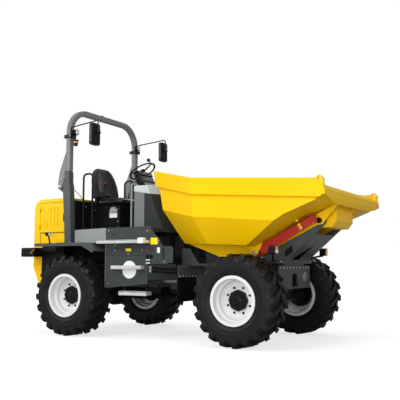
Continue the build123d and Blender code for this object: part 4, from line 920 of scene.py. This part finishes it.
# Operator's place
def dress_controls():
    plate = bmesh.new()
    outline = []
    centre_s, base_z, half, rise = -2.382, 1.615, 0.070, 0.160
    for s, z in ((-half, 0.0), (half, 0.0), (half, rise - half)):
        outline.append((at(centre_s + s), base_z + z))
    for step in range(1, 12):
        a = pi * step / 12
        outline.append((at(centre_s + half * cos(a)), base_z + rise - half + half * sin(a)))
    outline.append((at(centre_s - half), base_z + rise - half))
    add_prism(plate, outline, -0.2720, -0.2697)
    finish_mesh("seat_base_plate", plate, "plate", bevel=0.0005, segments=1)

    bolts = bmesh.new()
    for side in (-1, 1):
        for s, z in (
            (-2.300, 1.560), (-2.440, 1.470), (-2.300, 1.470), (-2.720, 1.470), (-2.300, 1.740),
            (-2.720, 1.740),
        ):
            add_bolt(bolts, (at(s), side * 0.2698, z), (0, side, 0), 0.0075)
    for y in (-0.400, 0.400):
        for z in (1.480, 1.780):
            add_bolt(bolts, (at(-2.790), y, z), (1, 0, 0), 0.007)
    finish_mesh("seat_base_bolts", bolts, "steel")

    ends = bmesh.new()
    for side in (-1, 1):
        add_between(ends, side, (-2.895, -2.790), (0.4495, 0.630), (DECK_TOP, 1.860))
    finish_mesh("control_box_ends", ends, "black", slot="black_plastic", bevel=0.012, segments=3)

    bellows = bmesh.new()
    for side in (-1, 1):
        for k in range(5):
            z = 1.680 + 0.020 * k
            add_between(bellows, side, (-2.740, -2.290), (0.2695, 0.2735), (z, z + 0.012))
    for k in range(5):
        z = 1.680 + 0.020 * k
        add_box(bellows, (at(-2.2605), -0.240, z), (at(-2.2560), 0.240, z + 0.012))
    finish_mesh("seat_bellows", bellows, "rubber", bevel=0.002)

    belt = bmesh.new()
    for side in (-1, 1):
        add_between(belt, side, (-2.740, -2.700), (0.248, 0.268), (1.790, 1.930))
    add_box(belt, (at(-2.733), -0.2700, 1.925), (at(-2.707), -0.2480, 1.985))
    finish_mesh("belt_buckles", belt, "plastic", bevel=0.004)

    arm = bmesh.new()
    add_box(arm, (at(-2.720), -0.345, 1.905), (at(-2.430), -0.268, 1.955))
    finish_mesh("lever_console", arm, "plastic", bevel=0.016, segments=4)
    lever = bmesh.new()
    foot = Vector((at(-2.530), -0.306, 1.953))
    lean = Vector((0.16, 0, 1.0))
    add_lathe(
        lever,
        [
            (0.028, -0.004), (0.028, 0.008), (0.021, 0.016), (0.024, 0.022), (0.017, 0.030), (0.019, 0.036),
            (0.010, 0.046), (0.0085, 0.110), (0.013, 0.118), (0.019, 0.140), (0.020, 0.165), (0.015, 0.180),
            (0.006, 0.185),
        ],
        foot, lean, 28,
    )
    finish_mesh("joystick", lever, "plastic")
    button = bmesh.new()
    spot = foot + lean.normalized() * 0.165
    add_lathe(button, [(0.008, 0.016), (0.008, 0.0215), (0.006, 0.0235)], spot, (0.2, -1, 0.2), 20)
    add_lathe(button, [(0.010, 0.015), (0.010, 0.0225), (0.008, 0.0245)], spot, (1, 0, 0.1), 20)
    finish_mesh("joystick_buttons", button, "red")

    bars(
        "seat_cable", "yellow_plate",
        [
            [
                (at(-2.790), -0.700, 2.020), (at(-2.780), -0.620, 1.985), (at(-2.800), -0.540, 1.945),
                (at(-2.830), -0.460, 1.930), (at(-2.850), -0.400, 1.858),
            ]
        ],
        0.006,
    )

    hood = bmesh.new()
    add_prism(
        hood,
        [
            (at(-2.120), 2.262), (at(-2.080), 2.290), (at(-2.020), 2.290), (at(-1.985), 2.235),
            (at(-1.995), 2.228), (at(-2.028), 2.272),
        ],
        -0.158, 0.158,
    )
    finish_mesh("pod_visor", hood, "plastic", bevel=0.005, segments=3)
    knobs = bmesh.new()
    for s, z in ((-2.040, 2.150), (-1.975, 2.105), (-2.070, 2.215)):
        for side in (-1, 1):
            add_lathe(
                knobs, [(0.017, -0.001), (0.017, 0.014), (0.013, 0.020)], (at(s), side * 0.150, z),
                (0, side, 0), 24,
            )
    for k in range(5):
        spot = Vector((at(-1.945), -0.100 + 0.050 * k, 2.140))
        add_lathe(knobs, [(0.013, -0.004), (0.013, 0.008), (0.010, 0.012)], spot, (0.85, 0, 0.5), 20)
    finish_mesh("pod_knobs", knobs, "black")
    screen = bmesh.new()
    outline = [(at(-2.062), 2.128), (at(-2.102), 2.236), (at(-2.106), 2.2345), (at(-2.066), 2.1265)]
    add_prism(screen, outline, -0.110, 0.110)
    finish_mesh("pod_screen", screen, "mirror", bevel=0.0008, segments=1)

    make_steering_wheel()


WHEEL_TILT = radians(31.0)
WHEEL_HUB = Vector((-2.066, 0.0, 2.302))
WHEEL_RIM = 0.192


def make_steering_wheel():
    """The rim, its three spokes and hub, with the turning knob."""
    up = Vector((-sin(WHEEL_TILT), 0, cos(WHEEL_TILT)))
    rise = Vector((cos(WHEEL_TILT), 0, sin(WHEEL_TILT)))
    hub = Vector((at(WHEEL_HUB.x), 0, WHEEL_HUB.z))
    rim = bmesh.new()
    add_ring(rim, hub, up, WHEEL_RIM, 0.0155, 72, 14)
    wheel = finish_mesh("steering_wheel_rim", rim, "plastic")
    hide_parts("steering_wheel")
    spokes = bmesh.new()
    for angle in (90, 210, 330):
        a = radians(angle)
        along = rise * sin(a) + Vector((0, 1, 0)) * cos(a)
        across = up.cross(along)
        places = []
        for reach, wide, drop in (
            (0.020, 0.017, 0.012), (0.100, 0.014, 0.006), (WHEEL_RIM - 0.006, 0.011, 0.0),
        ):
            middle = hub + along * reach - up * drop
            places.append(
                [middle + across * wide * p + up * 0.006 * q for p, q in ((-1, -1), (1, -1), (1, 1), (-1, 1))]
            )
        for low, high in zip(places, places[1:]):
            loft(spokes, low, high)
    finish_mesh("steering_spokes", spokes, "plastic", bevel=0.003)
    column = bmesh.new()
    add_lathe(
        column,
        [(0.018, -0.060), (0.018, -0.020), (0.034, -0.014), (0.036, 0.014), (0.030, 0.022), (0.012, 0.025)],
        hub, up, 36,
    )
    finish_mesh("steering_hub", column, "plastic")
    knob = bmesh.new()
    rim_spot = hub + rise * (WHEEL_RIM - 0.006) + Vector((0, -0.030, 0))
    add_lathe(
        knob,
        [(0.008, 0.0), (0.008, 0.040), (0.022, 0.046), (0.026, 0.062), (0.022, 0.080), (0.010, 0.086)],
        rim_spot, up, 28,
    )
    finish_mesh("steering_knob", knob, "plastic")


CONSOLE_TOP = 2.030


def loft(bm, low, high):
    """A closed block between two outlines of places."""
    low = [bm.verts.new(place) for place in low]
    high = [bm.verts.new(place) for place in high]
    bm.faces.new(low)
    bm.faces.new(high)
    for k in range(len(low)):
        n = (k + 1) % len(low)
        bm.faces.new((low[k], low[n], high[n], high[k]))


def console_ring(z, back, proud):
    """The console's outline at a height, from a station forward, standing proud of its sheet."""
    rise = (z - 1.420) / 0.610
    half = 0.380 + proud
    shoulder = at(-1.440 - 0.272 * rise + proud)
    nose = at(-1.385 - 0.210 * rise + proud)
    nose_half = 0.272 - 0.122 * rise + proud * 0.4
    ring = [
        (at(back), -half), (shoulder, -half), (nose, -nose_half), (nose, nose_half), (shoulder, half),
        (at(back), half),
    ]
    return [(x, y, z) for x, y in ring]


def dress_console():
    front = bmesh.new()
    loft(front, console_ring(1.4206, -1.750, 0.004), console_ring(1.975, -1.750, 0.004))
    finish_mesh("console_front", front, "console_dark", bevel=0.006, segments=3)

    cap = bmesh.new()
    low = console_ring(1.906, -1.931, 0.009)
    for k in (0, 5):
        low[k] = (low[k][0], low[k][1], 1.955)
    loft(cap, low, console_ring(CONSOLE_TOP + 0.006, -1.931, 0.006))
    finish_mesh("console_cap", cap, "cap_grey", bevel=0.012, segments=4)

    boot = bmesh.new()
    for y in (-0.400, 0.400):
        add_lathe(
            boot,
            [
                (0.030, -0.002), (0.030, 0.004), (0.024, 0.008), (0.020, 0.018), (0.022, 0.022),
                (0.016, 0.034),
            ],
            (at(-1.955), y, DECK_TOP), (0, 0, 1), 28,
        )
    finish_mesh("grab_tube_boots", boot, "plastic")


# Skip: prop face, strap and bolts, and the tip pin caps
PROP_LOW = Vector((-0.012, 0, 1.056))
PROP_HIGH = Vector((0.748, 0, 1.499))


def dress_skip():
    along = (PROP_HIGH - PROP_LOW).normalized()
    across = Vector((-along.z, 0, along.x))
    middle = PROP_LOW + along * 0.675
    face = bmesh.new()
    outline = [(0.741, 1.518), (0.087, 1.190), (0.062, 1.130), (0.075, 1.075), (0.125, 1.075), (0.796, 1.447)]
    add_plate(face, outline, -0.4835, -0.4795)
    finish_mesh("prop_face", face, "red", body="skip", bevel=0.0012)
    strap = bmesh.new()
    for near, far, y_low, y_high in ((-0.046, 0.052, -0.486, -0.480), (0.026, 0.140, -0.486, -0.479)):
        corners = [middle + along * a + across * b for a, b in ((-0.018, near), (0.018, near), (0.018, far), (-0.018, far))]
        add_prism(strap, [(at(c.x), c.z) for c in corners], y_low, y_high)
    finish_mesh("prop_strap", strap, "yellow", body="skip", bevel=0.002)

    bolts = bmesh.new()
    add_bolt(bolts, (at(middle.x - across.x * 0.02), -0.486, middle.z - across.z * 0.02), (0, -1, 0), 0.011)
    add_lathe(
        bolts, [(0.024, 0.0), (0.024, 0.005), (0.016, 0.006), (0.016, 0.014), (0.012, 0.017)],
        (at(-0.002), -0.5002, 1.092), (0, -1, 0), 24,
    )
    finish_mesh("prop_bolts", bolts, "steel", body="skip")

    for side, label in SIDES:
        pin = bmesh.new()
        add_lathe(
            pin, [(0.034, 0.0), (0.034, 0.008), (0.026, 0.010), (0.026, 0.020), (0.020, 0.024)],
            (at(0.782), side * 0.3905, 1.454), (0, side, 0), 28,
        )
        finish_mesh(f"tip_pin_cap_{label}", pin, "black", body="skip")


# Front frame: plate bolts, the arm recess's painted shade, couplers and the steering cylinder's fittings
def slotted_plate():
    """The cross plate ahead of the frame, with its tapered slot."""
    bm = bmesh.new()
    edges = []
    for outline in (
        ((-0.490, 0.645), (0.490, 0.645), (0.490, 0.900), (0.470, 0.930), (-0.470, 0.930), (-0.490, 0.900)),
        ((-0.104, 0.670), (0.104, 0.670), (0.074, 0.830), (-0.074, 0.830)),
    ):
        ring = [bm.verts.new((at(PLATE_FACE[0]), y, z)) for y, z in outline]
        edges += [bm.edges.new((ring[k - 1], ring[k])) for k in range(len(ring))]
    faces = [f for f in bmesh.ops.triangle_fill(bm, edges=edges, use_beauty=True)["geom"] if isinstance(f, bmesh.types.BMFace)]
    moved = bmesh.ops.extrude_face_region(bm, geom=faces)["geom"]
    verts = [v for v in moved if isinstance(v, bmesh.types.BMVert)]
    bmesh.ops.translate(bm, vec=(PLATE_FACE[1] - PLATE_FACE[0], 0, 0), verts=verts)
    return bm


PLATE_FACE = (0.2995, 0.3060)


def dress_front_frame():
    finish_mesh("front_plate", slotted_plate(), "dark_grey", body="front_frame", bevel=0.0015)
    bolts = bmesh.new()
    for k in range(10):
        y = -0.450 + 0.100 * k
        add_bolt(bolts, (at(PLATE_FACE[1]) - 0.0003, y, 0.905), (1, 0, 0), 0.010)
    finish_mesh("front_plate_bolts", bolts, "steel", body="front_frame")

    disc = bmesh.new()
    spot = Vector((at(PLATE_FACE[1]) - 0.0003, 0.317, 0.783))
    add_lathe(disc, [(0.062, -0.001), (0.062, 0.005), (0.056, 0.009), (0.050, 0.009)], spot, (1, 0, 0), 48)
    finish_mesh("horn_disc", disc, "steel", body="front_frame")
    # black dots on the horn disc: painted shade inside its holes
    hole_shade = bmesh.new()
    for radius, count in ((0.012, 6), (0.028, 12), (0.042, 18)):
        for k in range(count):
            a = 2 * pi * k / count
            add_lathe(
                hole_shade, [(0.0036, 0.0085), (0.0036, 0.0096)],
                spot + Vector((0, radius * cos(a), radius * sin(a))), (1, 0, 0), 10,
            )
    finish_mesh("horn_hole_shade", hole_shade, "black", body="front_frame")

    for side, label in SIDES:
        # black plate on each arm's flank: painted shade of the arm's recess
        finish_mesh(f"arm_recess_shade_{label}", arm_recess_shade(side), "black", body="front_frame", bevel=0.001)

        gusset = bmesh.new()
        y = sorted((side * 0.3005, side * 0.3165))
        outline = [
            (-1.170, 0.931), (-1.170, 1.140), (-1.158, 1.152), (-1.045, 1.152), (-0.905, 0.943),
            (-0.905, 0.900), (-0.955, 0.860), (-1.120, 0.905),
        ]
        add_plate(gusset, outline, *y)
        finish_mesh(f"neck_gusset_{label}", gusset, "dark_grey", body="front_frame", bevel=0.003)

        flap_bolts = bmesh.new()
        for k in range(6):
            add_bolt(flap_bolts, (at(-0.7270), side * (0.690 + 0.070 * k), 0.803), (1, 0, 0), 0.008)
        finish_mesh(f"flap_bolts_{label}", flap_bolts, "steel", body="front_frame")

        base_bolts = bmesh.new()
        for s in (-0.290, -0.200, 0.200, 0.310):
            add_bolt(base_bolts, (at(s), side * 0.430, 0.9749), (0, 0, 1), 0.012)
        finish_mesh(f"base_bolts_{label}", base_bolts, "steel", body="front_frame")


def arm_recess_shade(side):
    """A black plate on the arm's flank, painted shade standing in for its recess, with its bolt."""
    bm = bmesh.new()
    face = side * 0.361
    y = sorted((face - side * 0.0005, face + side * 0.004))
    add_prism(bm, [(at(0.330), 1.030), (at(0.330), 1.110), (at(0.430), 1.180), (at(0.430), 1.085)], *y)
    add_bolt(bm, (at(0.385), face + side * 0.0035, 1.100), (0, side, 0), 0.012)
    return bm


def dress_steering():
    fittings = bmesh.new()
    barrel = Vector((at(-1.765), -0.262, 0.730))
    for reach in (0.085, 0.455):
        spot = barrel + Vector((reach, 0, 0.037))
        add_lathe(fittings, [(0.016, -0.004), (0.016, 0.012), (0.013, 0.014)], spot, (0, 0, 1), 6)
        add_lathe(
            fittings, [(0.011, 0.012), (0.011, 0.030), (0.013, 0.032), (0.013, 0.046)], spot, (0, 0, 1), 16,
        )
    finish_mesh("steering_ports", fittings, "steel", body="steer_cylinder_barrel")
    band = bmesh.new()
    for reach in (0.460, 0.485):
        add_lathe(
            band, [(0.0385, 0.0), (0.0405, 0.002), (0.0405, 0.010), (0.0385, 0.012)],
            barrel + Vector((reach, 0, 0)), (1, 0, 0), 40,
        )
    finish_mesh("steering_gland_bands", band, "steel", body="steer_cylinder_barrel")

    collars = bmesh.new()
    away = Vector((0.8669, -0.4986, 0))
    for drop in (0.0, 0.042):
        spot = Vector((at(-1.252), -0.9077, 0.905 - drop))
        add_lathe(
            collars, [(0.0175, -0.001), (0.0175, 0.010), (0.0140, 0.012), (0.0140, 0.022)], spot, away, 24,
        )
        end = Vector((at(-1.520), -0.320 + drop, 0.850))
        add_lathe(
            collars, [(0.0175, -0.001), (0.0175, 0.012), (0.0140, 0.014), (0.0140, 0.034)], end, (1, 0, 0),
            24,
        )
    finish_mesh("hose_collars", collars, "plate")


# Floor, light and camera
def stage_scene():
    floor = bpy.data.meshes.new("floor")
    reach = 60.0
    floor.from_pydata(
        [(-reach, -reach, 0), (reach, -reach, 0), (reach, reach, 0), (-reach, reach, 0)], [],
        [(0, 1, 2, 3)],
    )
    plane = bpy.data.objects.new("floor", floor)
    bpy.context.scene.collection.objects.link(plane)
    mat = bpy.data.materials.new("studio_floor")
    mat.use_nodes = True
    tree = mat.node_tree
    tree.nodes.clear()
    out = put(tree, "ShaderNodeOutputMaterial")
    diffuse = put(tree, "ShaderNodeBsdfDiffuse", Color=(0.42, 0.42, 0.42, 1.0))
    glow = put(tree, "ShaderNodeEmission", Color=(1.0, 1.0, 1.0, 1.0))
    path = put(tree, "ShaderNodeLightPath")
    seen = put(tree, "ShaderNodeMath", operation="MULTIPLY")
    coord = put(tree, "ShaderNodeTexCoord")
    away = put(tree, "ShaderNodeVectorMath", operation="LENGTH")
    join(tree, coord.outputs["Object"], away.inputs[0])
    join(tree, spread(tree, away.outputs["Value"], 3.0, 11.0, 0.70, 1.0), seen.inputs[1])
    join(tree, path.outputs["Is Camera Ray"], seen.inputs[0])
    join(tree, seen.outputs[0], glow.inputs["Strength"])
    add = put(tree, "ShaderNodeAddShader")
    join(tree, diffuse.outputs[0], add.inputs[0])
    join(tree, glow.outputs[0], add.inputs[1])
    join(tree, add.outputs[0], out.inputs["Surface"])
    floor.materials.append(mat)

    world = bpy.data.worlds.new("studio")
    bpy.context.scene.world = world
    world.use_nodes = True
    tree = world.node_tree
    tree.nodes.clear()
    out = put(tree, "ShaderNodeOutputWorld")
    path = put(tree, "ShaderNodeLightPath")
    plain = put(tree, "ShaderNodeBackground", Color=(1.0, 1.0, 1.0, 1.0), Strength=0.38)
    white = put(tree, "ShaderNodeBackground", Color=(1.0, 1.0, 1.0, 1.0), Strength=1.0)
    shown = put(tree, "ShaderNodeMath", operation="MAXIMUM")
    join(tree, path.outputs["Is Camera Ray"], shown.inputs[0])
    join(tree, path.outputs["Is Transmission Ray"], shown.inputs[1])
    mix = put(tree, "ShaderNodeMixShader")
    join(tree, shown.outputs[0], mix.inputs[0])
    join(tree, plain.outputs[0], mix.inputs[1])
    join(tree, white.outputs[0], mix.inputs[2])
    join(tree, mix.outputs[0], out.inputs["Surface"])

    lamps = (
        ("key", (-1.5, -8.5, 7.0), 5.0, 420.0),
        ("low", (2.0, -8.0, 0.9), 4.0, 300.0),
        ("fill", (-7.0, -5.0, 4.0), 4.0, 160.0),
        ("top", (1.0, -0.5, 9.5), 5.0, 190.0),
        ("front", (7.5, -4.0, 2.6), 4.0, 120.0),
        ("back", (-2.0, 7.5, 6.5), 5.0, 240.0),
    )
    for name, place, size, power in lamps:
        lamp = bpy.data.lights.new(name, "AREA")
        lamp.shape = "DISK"
        lamp.size = size
        lamp.energy = power
        obj = bpy.data.objects.new(name, lamp)
        bpy.context.scene.collection.objects.link(obj)
        obj.location = place
        obj.rotation_mode = "QUATERNION"
        obj.rotation_quaternion = (Vector((0, 0, 1.2)) - Vector(place)).to_track_quat("-Z", "Y")
    bpy.context.scene.view_settings.view_transform = "Standard"


def make_camera():
    lens = bpy.data.cameras.new("camera")
    lens.sensor_width = 36.0
    lens.lens = FOCAL_PIXELS / PICTURE_PIXELS * lens.sensor_width
    camera = bpy.data.objects.new("camera", lens)
    bpy.context.scene.collection.objects.link(camera)
    camera.location = (at(CAMERA_STATION), CAMERA_Y, CAMERA_Z)
    target = Vector((at(TARGET_STATION), 0.0, TARGET_Z))
    camera.rotation_mode = "QUATERNION"
    camera.rotation_quaternion = (target - camera.location).to_track_quat("-Z", "Y")
    bpy.context.scene.camera = camera


PICTURE_PIXELS = 400
FOCAL_PIXELS = 630.0
CAMERA_STATION = 3.4015
CAMERA_Y = -7.3672
CAMERA_Z = 0.9392
TARGET_STATION = -1.0817
TARGET_Z = 1.8264

stage_scene()
make_camera()
dress_nodes()
for wheel_end in ("front", "rear"):
    for wheel_side, wheel_label in SIDES:
        dress_wheel(wheel_end, wheel_side, wheel_label)
dress_panels()
dress_hood()
dress_hoop()
dress_lamps()
make_seat()
dress_controls()
dress_console()
dress_skip()
dress_front_frame()
dress_steering()
